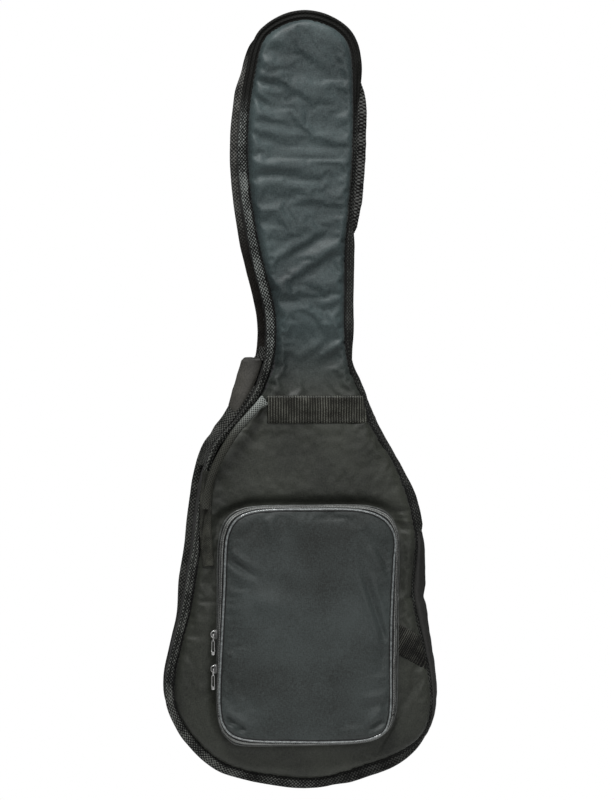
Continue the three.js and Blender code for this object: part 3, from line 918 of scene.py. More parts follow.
def add_inner_layers(name, side, points, faces, distance, rise):
    """The foam under the cloth, and the lining that covers it inside the bag."""
    seam_y = SEAM_Y * -side
    used, kept = part_of(faces, distance > 1.5)
    inner = points[used]
    quilt = np.clip(0.5 * wander(inner, 30, 21) + 0.9 * wander(inner, 90, 22), -1.0, 0.9)
    lining_y = seam_y + side * (0.6 + 0.6 * quilt * np.clip(distance[used] / 10, 0, 1))
    lining = add_mesh(f"{name}_lining_cloth", in_space(inner, lining_y), kept, LINING)
    thicken(lining, 0.5, offset=0.0)
    assign(lining, PANEL_BODY[side], "lining", f"{name}_lining")
    used, kept = part_of(faces, rise > 4.5)
    inner, count = points[used], len(used)
    places = np.vstack([in_space(inner, seam_y + side * out) for out in (1.2, rise[used] - 2.6)])
    edges = {(a, b): True for f in kept for a, b in zip(f, f[1:] + f[:1])}
    walls = [[b, a, a + count, b + count] for a, b in edges if (b, a) not in edges]
    outside = [[v + count for v in reversed(f)] for f in kept]
    foam = add_mesh(f"{name}_foam_pad", places, kept + outside + walls, FOAM, smooth_angle=40)
    assign(foam, PANEL_BODY[side], "foam", f"{name}_foam")


# ---------------------------------------------------------------- bound seam allowances

BINDING_WIDTH, BINDING_THICKNESS = 12.6, 3.0
BINDING_BACKSET = 1.5           # from the seam's plane to the middle of the tape, outwards


def binding_profile(lobes):
    """Folded tape as a closed profile: along its face from the seam, round its edge, and back."""
    t = np.linspace(-0.1, 1, 15)
    swell = 0.66 + 0.5 * np.cos(lobes * TAU * (t - 0.28))
    taper = np.sqrt(np.clip(1 - np.clip((t - 0.9) / 0.1, 0, 1) ** 2, 0.0, 1))
    face = -BINDING_THICKNESS / 2 * swell * taper
    under = BINDING_THICKNESS / 2 * 0.8 * taper
    lines = [np.stack([t * BINDING_WIDTH, off], axis=1) for off in (face, under)]
    return np.vstack([lines[0], lines[1][::-1][1:]])


# By height, down the right: how far the flange turns back, in radians, and how far the gusset bulges.
RIGHT_LEAN = [
    (30, 0), (75, 1.4), (332, 1.4), (358, 0.25), (395, 0.3), (423, 0.75), (450, 0.95), (478, 0.8), (505, 0.5),
    (533, 1.1), (560, 0.85), (588, 1.05), (615, 0.6), (643, 0.2), (745, 0.25), (790, 1.05), (940, 1.05),
    (1000, 0),
]
RIGHT_BULGE = [
    (0, 3), (55, 4), (110, 7), (170, 10.5), (205, 12.5), (241, 16), (278, 18), (315, 13.5), (340, 9.5),
    (368, 6), (395, 8), (423, 7), (450, 5), (478, 7), (505, 9), (533, 3), (575, 0), (745, 0), (775, 12),
    (808, 16), (836, 17), (940, 17), (962, 14), (985, 7), (1005, 0),
]


def lean_of(line):
    """How far the front flange turns back (above 0) or stands up (below 0), in radians."""
    x, z = line.T
    right, left = smoothstep(20, 60, x), smoothstep(20, 60, -x)
    side_left = left * between(z, 90, 200, 560, 640)
    shoulder_left = left * between(z, 380, 430, 560, 640)
    return right * np.interp(z, *np.transpose(RIGHT_LEAN)) - 0.35 * side_left - 0.3 * shoulder_left - 0.12


def binding_width(line, side):
    """How much of its full width the tape shows at each point of the seam."""
    x, z = line.T
    if side > 0:
        tucked = between(z, 60, 110, 215, 290) * 0.6 + 0.35 * smoothstep(960, 1000, z)
        return 1 - smoothstep(20, 60, -x) * tucked
    low_right = smoothstep(30, 60, x)
    tucked = 0.4 * low_right * between(z, 60, 90, 325, 350)
    return 1 - tucked + 0.3 * low_right * (1 - smoothstep(30, 60, z))


def add_binding(name, side, material):
    count = len(SEAM)
    stations = np.arange(count)
    turns = stations / count * TAU
    loop = np.stack([np.cos(turns), np.sin(turns)], axis=1) * count / TAU
    wave = 1.2 * wander(loop, 42, side * 3.0) + 0.8 * wander(loop, 15, 7 + side)
    width = binding_width(SEAM, side) + 0.07 * wander(loop, 55, 11 + side)
    profile = binding_profile(2 if side < 0 else 1)
    outward = profile[:, 0] * width[:, None]
    off = np.broadcast_to(profile[:, 1], outward.shape)
    rib = 0.22 * np.sin(TAU * (stations[:, None] + 0.5 * outward) / 3.0)
    off = off + np.where(off < 0, rib, 0)
    lean = lean_of(SEAM) if side < 0 else np.zeros(count)
    turn, hold = np.sin(lean)[:, None], np.cos(lean)[:, None]
    flutter = wave[:, None] * np.clip(outward / BINDING_WIDTH, 0, 1) ** 1.5
    centre = (SEAM_Y - BINDING_BACKSET) * -side
    y = centre + (off * hold + outward * turn) * -side + flutter
    rings = sweep(SEAM, np.stack([outward * hold - off * turn, y], axis=2))
    binding = add_loft(f"{name}_tape", rings, material, closed_path=True)
    assign(binding, PANEL_BODY[side], "binding", name)
    turn, hold, over = turn[:, 0], hold[:, 0], -1.35
    for index, t in enumerate((0.3, 0.74)):
        reach = t * BINDING_WIDTH * width
        y = centre + (over * hold + reach * turn) * -side + wave * t**1.5
        path = beside(SEAM, reach * hold - over * turn, y)
        add_stitches(f"{name}_stitching_{index + 1}", path, (0, side, 0), PANEL_BODY[side], pitch=4.4,
                     closed=True)


# ---------------------------------------------------------------- gusset and main zip

ZIP_Y = (bag_box("front_zip_coil")[0][1] + bag_box("back_zip_coil")[1][1]) / 2
GUSSET_OFFSET = 2.6
GUSSET_EDGE = -SEAM_Y - 0.6     # the gusset's two edges are this far from the bag's middle plane
CLOTH_GAP = 2.4                   # from the zip's middle to the edge of the cloth beside it
hinge_low, hinge_high = bag_box("lid_gusset_side_right")[0], bag_box("lid_gusset_waist_right")[1]


def hinge_stretch():
    """The seam points of the side that has no zip, and those of the zip, both clockwise."""
    on_hinge = (SEAM[:, 0] > 0) & (SEAM[:, 1] < hinge_high[2]) & (SEAM[:, 1] > hinge_low[2])
    start = int(np.argmax(on_hinge))
    end = start + int(on_hinge.sum())
    hinge = SEAM[start:end]
    rest = np.vstack([SEAM[end:], SEAM[:start]])
    return hinge, rest


HINGE_LINE, ZIP_LINE = hinge_stretch()


def gusset_offset(line, y):
    """How far the gusset stands out from the seam line, at each point and each depth."""
    x, z = line[:, 0, None], line[:, 1, None]
    y = np.asarray(y, float)[None]
    places = np.stack(np.broadcast_arrays(x, z, y * 0.6), axis=2).reshape(-1, 3)
    wrinkle = (0.9 * wander(places, 26, 2.0) + 0.45 * wander(places, 9, 4.0)).reshape(len(line), -1)
    zip_run = smoothstep(20, 40, x) * smoothstep(555, 575, z) * smoothstep(770, 750, z)
    wrinkle = wrinkle * (1 - zip_run)
    from_seams = np.clip(1 - (y / 45) ** 2, 0, 1)
    right = smoothstep(20, 50, x)
    low_front = np.sqrt(np.clip((y + GUSSET_EDGE) / 8, 0, 1))
    at_front = np.where(z < 560, low_front, smoothstep(-30, -20, y))
    at_back = 0.25 + 0.75 * np.exp(-(np.clip(y + 22, 0, None) / 22) ** 2)
    at_back = at_back * np.sqrt(np.clip((GUSSET_EDGE - y) / 10, 0, 1))
    pinch = 2.6 * np.exp(-((z - 262 - 0.25 * y) / 8) ** 2)
    bulge = np.clip(np.interp(z, *np.transpose(RIGHT_BULGE)) - pinch, 0, None)
    dent = 3.8 * np.exp(-((z - 582) / 16) ** 2 - ((y - ZIP_Y) / 9) ** 2)
    return GUSSET_OFFSET + wrinkle * from_seams**0.6 + right * (bulge * at_front * at_back - dent)


def gusset_path(line, y, extra):
    """The seam line moved to one depth of the gusset, and an extra distance off it."""
    return beside(line, gusset_offset(line, [y])[:, 0] + extra, y, closed=False)


def add_gusset_strip(name, line, depths, replaced, body, material=SHADE, extra=0.0, thickness=1.2,
                     slot="shell_cloth"):
    offset = gusset_offset(line, depths) + extra
    profile = np.stack([offset, np.broadcast_to(depths, offset.shape)], axis=2)
    piece = add_loft(name, sweep(line, profile, closed=False), material, closed_profile=False)
    thicken(piece, thickness, offset=0.0)
    return assign(piece, body, slot, *replaced)


def add_gussets():
    stretches = ("head", "neck_right", "bottom", "side_left", "waist_left", "neck_left")
    line = evenly(ZIP_LINE, 3.0)
    for half, body, depths in (("lid", "front_lid", np.linspace(-GUSSET_EDGE, ZIP_Y - CLOTH_GAP, 9)),
                               ("shell", "back_shell", np.linspace(ZIP_Y + CLOTH_GAP, GUSSET_EDGE, 20))):
        nodes = [f"{half}_gusset_{stretch}" for stretch in stretches]
        add_gusset_strip(f"{half}_gusset_cloth", line, depths, nodes, body)
    bend = np.linspace(ZIP_Y - 10, ZIP_Y + 10, 30)
    depths = np.concatenate([np.linspace(-GUSSET_EDGE, bend[0], 5)[:-1], bend,
                             np.linspace(bend[-1], GUSSET_EDGE, 14)[1:]])
    nodes = [f"{half}_gusset_{stretch}_right" for half in ("lid", "shell") for stretch in ("side", "waist")]
    hinge = add_gusset_strip("hinge_gusset_cloth", evenly(HINGE_LINE, 3.0), depths, nodes, None)
    apply_modifiers(hinge)
    middle = bag_box("lid_gusset_side_right")[1]
    metres((middle[0], bend[0], middle[2]))
    metres((middle[0], bend[-1], middle[2]))
    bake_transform(hinge)


TOOTH_POINTS = [(sx * 0.42, sy * 1.5, sz * 0.85) for sx in (-1, 1) for sy in (-1, 1) for sz in (-1, 1)]
TOOTH_FACES = [(0, 1, 3, 2), (4, 6, 7, 5), (0, 4, 5, 1), (2, 3, 7, 6), (0, 2, 6, 4), (1, 5, 7, 3)]


def add_teeth(name, path, outward, body, replaced):
    """The teeth of one half of a coil zip, each lying across the zip."""
    teeth = add_copies(name, path, outward, TOOTH_POINTS, TOOTH_FACES, COIL)
    bevel = teeth.modifiers.new("rounded", "BEVEL")
    bevel.width = 0.28 * MM
    assign(teeth, body, "zip_coil", replaced)


def add_main_zip():
    line, fine = evenly(ZIP_LINE, 2.5), evenly(ZIP_LINE, 1.75)
    outward = in_space(normals(fine))
    from_middle = np.linspace(1.6, 11.5, 14)
    bead = 0.5 * np.exp(-((from_middle - 3.2) / 0.9) ** 2) + 0.35 * np.exp(-((from_middle - 9.6) / 0.8) ** 2)
    for half, side in (("front", -1), ("back", 1)):
        body = PANEL_BODY[side]
        add_gusset_strip(f"{half}_zip_woven_tape", line, ZIP_Y + side * from_middle, [f"{half}_zip_tape"],
                         body, ZIP_TAPE, 1.5 + bead, 0.9, "zip_tape")
        path = gusset_path(fine, ZIP_Y + side * 0.9, 1.0)
        add_teeth(f"{half}_zip_teeth", path, outward, body, f"{half}_zip_coil")
        for index, away in enumerate((5.2, 9.6)):
            path = gusset_path(fine, ZIP_Y + side * away, 2.35)
            add_stitches(f"{half}_zip_stitching_{index + 1}", path, outward, body)


# ---------------------------------------------------------------- webbing on the front

WEBBING_LIFT = 0.7        # from the cloth to the underside of webbing sewn on it
BAND_THICKNESS = 1.7
RIBBON_THICKNESS = 2.0
WEBBING_BRIDGE = 1.2      # webbing stands this far off a hollow in the cloth, at most


def add_webbing(name, outer, inner, body, *nodes, material=WEBBING):
    """Webbing between the points of its outer face and those of its inner one."""
    piece = add_loft(name, np.concatenate([outer, inner[:, ::-1]], axis=1), material)
    assign(piece, body, "webbing", *nodes)


def rounded_edge(across, power, least):
    """The share of its thickness that webbing has at each place across it, from -1 to 1."""
    return np.sqrt(np.clip(1 - np.abs(across) ** power, least, 1))


def band(name, start, end, width, look, material, node_name, rib, cuts):
    """Flat webbing laid on the front, ribbed across, from the middle of one end to that of the other."""
    start, end = np.array(start, float), np.array(end, float)
    length = np.linalg.norm(end - start)
    forward = (end - start) / length
    side = np.array([-forward[1], forward[0]])
    u = np.arange(0, length + 0.1, 0.6)
    v = np.linspace(-0.5, 0.5, 22) * width
    places = start + u[:, None, None] * forward + v[None, :, None] * side
    for cut in cuts:
        places = cut_at(places, *cut)
    depth = look(places)
    depth = np.maximum(smooth_depth(depth), depth - WEBBING_BRIDGE)
    edge = np.clip((0.5 - np.abs(v / width)) * width / 1.6, 0, 1)
    ribs = 0.5 * np.sin(TAU * u / rib)[:, None] * edge[None, :]
    depth = depth - WEBBING_LIFT
    front = in_space(places, depth - BAND_THICKNESS * np.sqrt(0.25 + 0.75 * edge)[None, :] - ribs)
    back = in_space(places, depth)
    add_webbing(name, front, back, "front_lid", node_name, material=material)
    return front


def flat_ribbon(name, line, width, look, material, node_name, side=-1):
    """Webbing that follows a bent line flat on a panel."""
    line = evenly(line, 1.2)
    across = np.linspace(-0.5, 0.5, 14) * width
    places = line[:, None] + normals(line)[:, None] * across[None, :, None]
    depth = smooth_depth(look(places, side))
    edge = rounded_edge(2 * across / width, 6, 0.1)
    front = in_space(places, depth + side * (WEBBING_LIFT + RIBBON_THICKNESS * edge[None, :]))
    back = in_space(places, depth + side * WEBBING_LIFT)
    add_webbing(name, front, back, PANEL_BODY[side], node_name, material=material)
    return front


def smooth_depth(depth):
    """Webbing bridges small wrinkles: a moving average along it and across it."""
    kernel = np.ones(15) / 15
    padded = np.pad(depth, ((7, 7), (0, 0)), mode="edge")
    along_it = np.stack([np.convolve(run, kernel, mode="valid") for run in padded.T], axis=1)
    middle = along_it.mean(axis=1, keepdims=True)
    return 0.6 * along_it + 0.4 * middle


def cut_at(places, a, b, keep):
    """Slides points past the line from a to b back onto it, along their own run of the webbing."""
    a, b = np.array(a, float), np.array(b, float)
    normal = np.array([-(b - a)[1], (b - a)[0]])
    past = (places - a) @ normal * keep
    run = unit(places[-1] - places[0])
    share = past / (run @ normal * keep)[None, :]
    return places - np.where(past > 0, share, 0)[..., None] * run[None]


def add_front_bands(look):
    front = band("upper_band", (-57, 520), (86, 520), 38, look, WEBBING, "upper_webbing", 4.2,
                 [((86, 501), (78, 539), -1)])
    band("lower_band", (-111, 338.7), (176, 174), 37, look, LOW_WEBBING, "lower_webbing", 2.3,
         [((-111, 300), (-111, 400), 1), ((172.5, 150), (155.7, 225), -1)])
    end_line = curve([(-138, 436), (-141.5, 395), (-142, 360), (-140, 330), (-138, 306)])
    edge = flat_ribbon("handle_end_band", end_line, 16.5, look, END_BAND, "handle_end_webbing")
    add_stitches("upper_band_selvedge", front[:, -2] + (0, -0.2, 0), (0, -1, 0), "front_lid",
                 pitch=2.9, material=PIPING_TAPE)
    cross = np.linspace(edge[8, 3], edge[8, -4], 8)
    for name, path, pitch in (
            ("upper_band_foot", front[:, 2], 3.6), ("upper_band_left", front[5], 3.6),
            ("handle_end_left", edge[:, 2], 3.6), ("handle_end_right", edge[:, -3], 3.6),
            ("handle_end_cross", cross, 2.6)):
        add_stitches(f"{name}_stitching", path + (0, -0.1, 0), (0, -1, 0), "front_lid", pitch=pitch)


def tube(path, half_width, half_depth, up, sides, power=1.0):
    """Rings of an oval section along a path in space; up points along the section's short way."""
    forward = headings(path)
    side = unit(np.cross(up, forward))
    rise = np.cross(forward, side)
    side, rise = side * np.reshape(half_width, (-1, 1)), rise * np.reshape(half_depth, (-1, 1))
    return rings_round(path, side, rise, sides, power)


HANDLE_LINE = [(-61, -47.5, 533), (-72, -54, 524), (-85, -60, 511), (-103, -63, 491), (-119, -61, 466),
               (-131, -54, 441), (-138, -48, 417), (-141, -45.6, 398), (-142, -45, 384)]
HANDLE_SIDES = 28


def add_handle():
    path = evenly(curve(HANDLE_LINE), 0.8)
    share = np.linspace(0, 1, len(path))
    tight = between(share, 0, 0.1, 0.6, 0.95)
    half_width = 7.6 - 2.2 * tight - 1.6 * smoothstep(0.55, 0.9, share)
    half_depth = 1.8 + 2.4 * tight - 1.1 * smoothstep(0.7, 0.95, share)
    rings = tube(path, half_width, half_depth, (0.35, -1.0, 0.15), HANDLE_SIDES, 0.8)
    angle = np.arange(HANDLE_SIDES) / HANDLE_SIDES * TAU
    check = np.sin(TAU * share * along(path)[-1] / 3.0)[:, None] * np.sin(12 * angle)[None]
    rings = path[:, None] + (rings - path[:, None]) * (1 + 0.05 * check)[..., None]
    handle = add_loft("handle_rolled_webbing", rings, HANDLE)
    assign(handle, None, "webbing", "carry_handle")
    metres((-141, -46, 400))
    metres((-124, -58, 452))
    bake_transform(handle)
    bar = path[3] + np.outer(np.linspace(-6, 6, 8), unit(np.array([0.62, 0, 0.78]))) + (0, -2.6, 0)
    add_stitches("handle_top_stitching", bar, (0, -1, 0), "carry_handle", pitch=2.4)


# ---------------------------------------------------------------- pocket

ZIP_HALF_GAP = 2.2              # from the middle of the pocket's zip to the cloth beside it
ZIP_TAPE_EDGE = 5.6             # and to the edge of its tape
FOOT_TOP = 98                   # the zip ends here, and plain cloth goes on round the pocket's foot


def pocket_lines(step=1.5):
    """The sewn-down outline and the face's, as matching points."""
    rear = evenly(curve(REAR_OUTLINE, closed=True), step, closed=True)
    face = evenly(curve(FACE_OUTLINE, closed=True), step, closed=True)
    share = np.linspace(0, len(face), len(rear), endpoint=False)
    wrapped = np.vstack([face, face[:1]])
    face = np.stack([np.interp(share, np.arange(len(wrapped)), wrapped[:, k]) for k in (0, 1)], axis=1)
    return rear, face


def wall_rings(rear, face, depths):
    """Rings of the pocket's wall at the given depths, between its two outlines."""
    share = np.clip((np.asarray(depths) - POCKET_REAR_Y) / (POCKET_FRONT_Y - POCKET_REAR_Y), 0, 1)
    line = rear[:, None] * (1 - share)[None, :, None] + face[:, None] * share[None, :, None]
    bulge = 1.2 * np.sin(math.pi * share)
    return in_space(line + normals(rear, closed=True)[:, None] * bulge[None, :, None], depths)


def add_piping(name, path, radius, outward, body, *nodes, material=PIPING):
    """A round bead along a closed path."""
    rise = np.cross(headings(path, closed=True), outward)
    rings = rings_round(path, radius * outward, radius * rise, 12)
    piece = add_loft(name, rings, material, closed_path=True)
    assign(piece, body, "piping", *nodes)


def add_pocket(look):
    rear, face = pocket_lines()
    outward = in_space(normals(rear, closed=True))
    arch = rear[:, 1] > FOOT_TOP
    foot_count = int((~arch).sum())
    order = np.roll(np.arange(len(rear)), -(int(np.argmax(~arch)) + foot_count))
    arch_part, foot_part = order[:len(rear) - foot_count], order[len(rear) - foot_count:]

    def strip(name, which, depths, material, body, slot, *nodes, thickness=1.0, extra=0.0):
        ripple = 0.35 * wander(rear[which], 12, 3.0)
        rings = wall_rings(rear, face, depths)[which]
        rings = rings + outward[which][:, None] * (extra + ripple)[:, None, None]
        piece = add_loft(name, rings, material, closed_profile=False)
        thicken(piece, thickness, offset=0.0)
        return assign(piece, body, slot, *nodes)

    rear_edge, front_edge = POCKET_REAR_Y + 1.5, POCKET_FRONT_Y + 1.5
    depths = np.linspace(rear_edge, front_edge, 26)
    # the foot wall is near-black: painted shade of the crevice round the pocket
    foot = strip("pocket_foot_wall", foot_part, depths, SHADOW_CLOTH, None, "pocket_cloth")
    depths = POCKET_SPLIT_Y + np.linspace(-ZIP_TAPE_EDGE, ZIP_TAPE_EDGE, 13)
    foot_tape = strip("pocket_foot_tape", foot_part, depths, PIPING_TAPE, None, "pocket_cloth",
                      thickness=0.8, extra=1.0)
    for piece in (foot, foot_tape):
        apply_modifiers(piece)
        metres((0, POCKET_SPLIT_Y + 4, 58))
        metres((0, POCKET_SPLIT_Y - 4, 58))
        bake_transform(piece)
    arch_out = outward[arch_part]
    halves = ("rear", "front_lid", 1, rear_edge), ("front", "pocket_flap", -1, front_edge)
    for part, body, side, edge in halves:
        def zip_line(away, extra):
            line = wall_rings(rear, face, [POCKET_SPLIT_Y + side * away])[arch_part][:, 0]
            return line + arch_out * extra

        depths = np.linspace(edge, POCKET_SPLIT_Y + side * ZIP_HALF_GAP, 7)[::side]
        # the walls are near-black: painted shade of the crevice round the pocket
        strip(f"pocket_{part}_wall", arch_part, depths, SHADOW_CLOTH, body, "pocket_cloth", f"pocket_gusset_{part}")
        depths = POCKET_SPLIT_Y + side * np.linspace(1.5, ZIP_TAPE_EDGE, 7)
        strip(f"pocket_zip_tape_{part}", arch_part, depths, PIPING_TAPE, body, "zip_tape",
              thickness=0.8, extra=1.0)
        teeth = evenly(zip_line(0.85, 0.6), 1.6)
        add_teeth(f"pocket_zip_teeth_{part}", teeth, arch_out, body, f"pocket_zip_coil_{part}")
        add_stitches(f"pocket_zip_stitching_{part}", zip_line(4.6, 1.6), arch_out, body, pitch=3.8)
    base = in_space(rear, look(rear) - 1.6) + outward * 1.4
    add_piping("pocket_rear_piping", base, 1.5, outward, "front_lid", "pocket_piping_rear",
               material=REAR_PIPING)
    rim = in_space(face, POCKET_FRONT_Y + 1.0)
    rim_out = in_space(normals(face, closed=True))
    add_piping("pocket_front_piping", rim + rim_out * 0.9, 1.5, rim_out, "pocket_flap", "pocket_piping_front")
    # a near-black cord inside the face's piping: painted shadow of the seam's groove
    add_piping("pocket_face_shadow_cord", rim + rim_out * -1.3 + (0, -0.9, 0), 0.8, rim_out, "pocket_flap",
               material=SHADOW_CLOTH)
    hem = rim + rim_out * -2.9 + (0, -0.7, 0)
    add_stitches("pocket_face_stitching", hem, (0, -1, 0), "pocket_flap", pitch=3.4, closed=True)
    add_pocket_face(face)


def add_pocket_face(face):
    points, faces, distance = filled(evenly(face, 2.0, closed=True), 2.2)

    def surface(spots, from_edge):
        inner = np.clip(from_edge / 26, 0, 1)
        rise = 1.2 + 3.4 * np.sqrt(1 - (1 - inner) ** 2) * (0.7 + 0.3 * smoothstep(380, 120, spots[:, 1]))
        rise += 0.9 * wander(spots, 70, 31) * inner
        for fold in FACE_FOLDS:
            rise += crease(spots, *fold) * np.clip(from_edge / 8, 0, 1)
        return in_space(spots, POCKET_FRONT_Y + 2.2 - rise)

    places = surface(points, distance)
    places += settled(face, surface, pressure=1.2, spare=0.012, cap=2.5)(points)
    piece = add_mesh("pocket_face_cloth", places, faces, POCKET)
    thicken(piece, 1.0)
    assign(piece, "pocket_flap", "pocket_cloth", "pocket_face")


# ---------------------------------------------------------------- sliders and pulls

PULL_PIVOT = 4.6                # from the zip to the axis of a pull's ring
TAB_TURN = math.radians(48)     # a pull's tab turns this far, to face forwards
BRIDGE_LINE = [(2.6, 0, -4.6), (4.9, 0, -4.3), (7.0, 0, -2.6), (7.4, 0, 0), (7.0, 0, 2.6), (4.9, 0, 4.3),
               (2.6, 0, 4.6)]
# A pull's ring, the two rails of its tab, and the outline of its foot, as (sideways, up).
EYE_LINE = [(0, 0.5), (2.3, -0.2), (2.5, -4), (2.1, -7.6), (0, -8.6), (-2.1, -7.6), (-2.5, -4), (-2.3, -0.2)]
RAIL_LINE = [(0, -8.8), (1.7, -9.6), (2.0, -14), (2.1, -20), (2.4, -23.4), (0, -24.4), (-2.4, -23.4),
             (-2.1, -20), (-2.0, -14), (-1.7, -9.6)]
FOOT_OUTLINE = [(-2.0, -24.2), (0, -23.8), (2.0, -24.2), (2.4, -25.6), (2.2, -27.3), (1.2, -28), (-1.2, -28),
                (-2.2, -27.3), (-2.4, -25.6)]


def rounded_plate(outline, *levels):
    """Rings of a plate with rounded edges: (height, inset) levels over an outline of (side, up)."""
    middle = outline.mean(axis=0)
    reach = np.linalg.norm(outline - middle, axis=1).max()
    lines = [middle + (outline - middle) * (1 - inset / reach) for _, inset in levels]
    return np.array([np.insert(line, 0, height, axis=1) for line, (height, _) in zip(lines, levels)])


def wire(points, radius):
    """Rings of a closed wire that lies in the plane of a pull."""
    line = np.insert(curve(points, closed=True, steps=6), 0, PULL_PIVOT, axis=1)
    off = np.tile((1.0, 0, 0), (len(line), 1))
    side = unit(np.cross(off, headings(line, closed=True)))
    return rings_round(line, radius * side, radius * off, 8)


def add_slider(name, facing):
    """A coil-zip slider with its bridge, and its pull. facing is -1 for the left or 1 for the right."""
    low, high = bag_box(f"{name}_slider")
    stand = np.array([low[0] if facing > 0 else high[0], (low[1] + high[1]) / 2, (low[2] + high[2]) / 2])

    def placed(local):
        return stand + local * np.array([facing, facing, 1])

    c, s = circle(40, 0.6)
    up = 6.6 * s
    shield = np.stack([(4.1 + 0.075 * up) * c, up], axis=1)
    lower = rounded_plate(shield, (-0.6, 0.6), (-0.3, 0.1), (0.6, 0.0), (0.9, 0.5))
    upper = rounded_plate(shield, (1.7, 0.5), (2.0, 0.05), (2.7, 0.1), (3.2, 0.9))
    wedge = rounded_plate(shield * (0.25, 0.3) + (0, 3.0), (0.7, 0), (2.2, 0))
    slider = join([add_loft("plate", placed(rings), SLIDER_METAL, smooth_angle=50)
                   for rings in (lower, upper, wedge)], f"{name}_zip_slider")
    assign(slider, f"{name}_slider", "zip_metal", f"{name}_slider")
    bridge = tube(curve(BRIDGE_LINE, steps=5), 1.25, 0.55, (0.3, 0, 0.01), 10)
    arch = add_loft(f"{name}_zip_bridge", placed(bridge), METAL, smooth_angle=50)
    assign(arch, f"{name}_slider", "zip_metal")
    add_pull(name, placed)


def add_pull(name, placed):
    """A pull: a ring on the bridge, and a slotted tab that hangs in the ring and faces forwards."""
    def turned(local):
        x, y, z = np.moveaxis(local - (PULL_PIVOT, 0, 0), -1, 0)
        c, s = math.cos(TAB_TURN), math.sin(TAB_TURN)
        return placed(np.stack([PULL_PIVOT + x * c - y * s, x * s + y * c, z], axis=-1))

    levels = (-0.8, 0.5), (-0.5, 0), (0.5, 0), (0.8, 0.5)
    levels = [(PULL_PIVOT + height, inset) for height, inset in levels]
    foot = rounded_plate(curve(FOOT_OUTLINE, closed=True, steps=4), *levels)
    pull = join([
        add_loft("eye", placed(wire(EYE_LINE, 0.55)), METAL, closed_path=True),
        add_loft("rails", turned(wire(RAIL_LINE, 0.48)), METAL, closed_path=True),
        add_loft("foot", turned(foot), METAL, smooth_angle=50),
    ], f"{name}_zip_pull")
    assign(pull, f"{name}_pull", "zip_metal", f"{name}_pull")


# ---------------------------------------------------------------- left shoulder

def sewn_fold(name, z_low, z_high, profile_at, material):
    """A fold of cloth along the left side, with a closed profile for each share of its length."""
    left = SEAM[(SEAM[:, 0] < 0) & (SEAM[:, 1] > z_low) & (SEAM[:, 1] < z_high)]
    line = evenly(left, 1.5)
    profile = np.array([profile_at(t) for t in np.linspace(0, 1, len(line))])
    piece = add_loft(name, sweep(line, profile, closed=False), material)
    subdivide(piece)
    assign(piece, "back_shell", "shell_cloth")


def fold_profile(inner, reach, depth, thick, slope):
    """A flattened oval from inner to reach out of the seam, whose outer edge leans back by the slope."""
    c, s = circle(16)
    x = inner + (reach - inner) * (0.5 + 0.5 * c)
    return np.stack([x, depth + thick * s * (1 - 0.3 * c) + slope * c], axis=1)


def shoulder_profile(t):
    """The fold at the shoulder: low and narrow at its foot, then wide up to its rounded corner."""
    reach = np.interp(t, [0, 0.15, 0.37, 0.65, 0.9, 0.97, 1], [14, 21, 28, 32, 32.5, 29, 20])
    return fold_profile(4, reach, 24, 3.5 + 3.0 * math.sin(math.pi * min(1, t + 0.1)), 5)


def shoulder_tape_profile(t):
    """The taped edge under the fold: it tapers down into the back seam."""
    reach = np.interp(t, [0, 0.27, 0.4, 0.54, 0.66, 0.85, 1], [10, 12, 16.4, 18, 20, 22, 15])
    return fold_profile(3, reach, 22, 2.2 + 1.2 * math.sin(math.pi * t), 6)


def neck_tape_profile(t):
    """The end of the taped edge that runs on up the neck."""
    return fold_profile(3, 15.5 - 5 * t + 1.2 * math.sin(9 * t), 21, 1.8, 6)


def add_left_shoulder():
    sewn_fold("shoulder_gusset_fold", 503, 590, shoulder_profile, TAUPE)
    sewn_fold("shoulder_tape_fold", 440, 552, shoulder_tape_profile, BACK_BINDING)
    sewn_fold("neck_tape_end", 586, 607, neck_tape_profile, ZIP_TAPE)


# ---------------------------------------------------------------- the back

STRAP_TOP = np.array([30, 556])
STRAP_FOOT = np.array([112, 72])
STRAP_SPAN = np.linalg.norm(STRAP_FOOT - STRAP_TOP)
STRAP_Y = bag_box("strap_pad_left")[0][1]
BACK_FACE_Y = bag_box("back_panel_fabric")[1][1]
PAD_START, PAD_END = 4, 282
PAD_WIDTH = [(4, 13), (20, 18), (60, 26), (120, 29), (PAD_END - 40, 29), (PAD_END - 12, 22), (PAD_END, 15)]
BUCKLE_LENGTH = 26
RIB_PITCH = 2.4                 # of the webbing on the back


def strap_place(sign, across, down, y):
    """A point in a strap's own frame: across it, down from its top pivot, and off the back."""
    run = unit((STRAP_FOOT - STRAP_TOP) * (sign, 1))
    side = np.array([-run[1], run[0]])
    x = STRAP_TOP[0] * sign + run[0] * down + side[0] * across
    z = STRAP_TOP[1] + run[1] * down + side[1] * across
    return np.stack(np.broadcast_arrays(x, y, z), axis=-1)


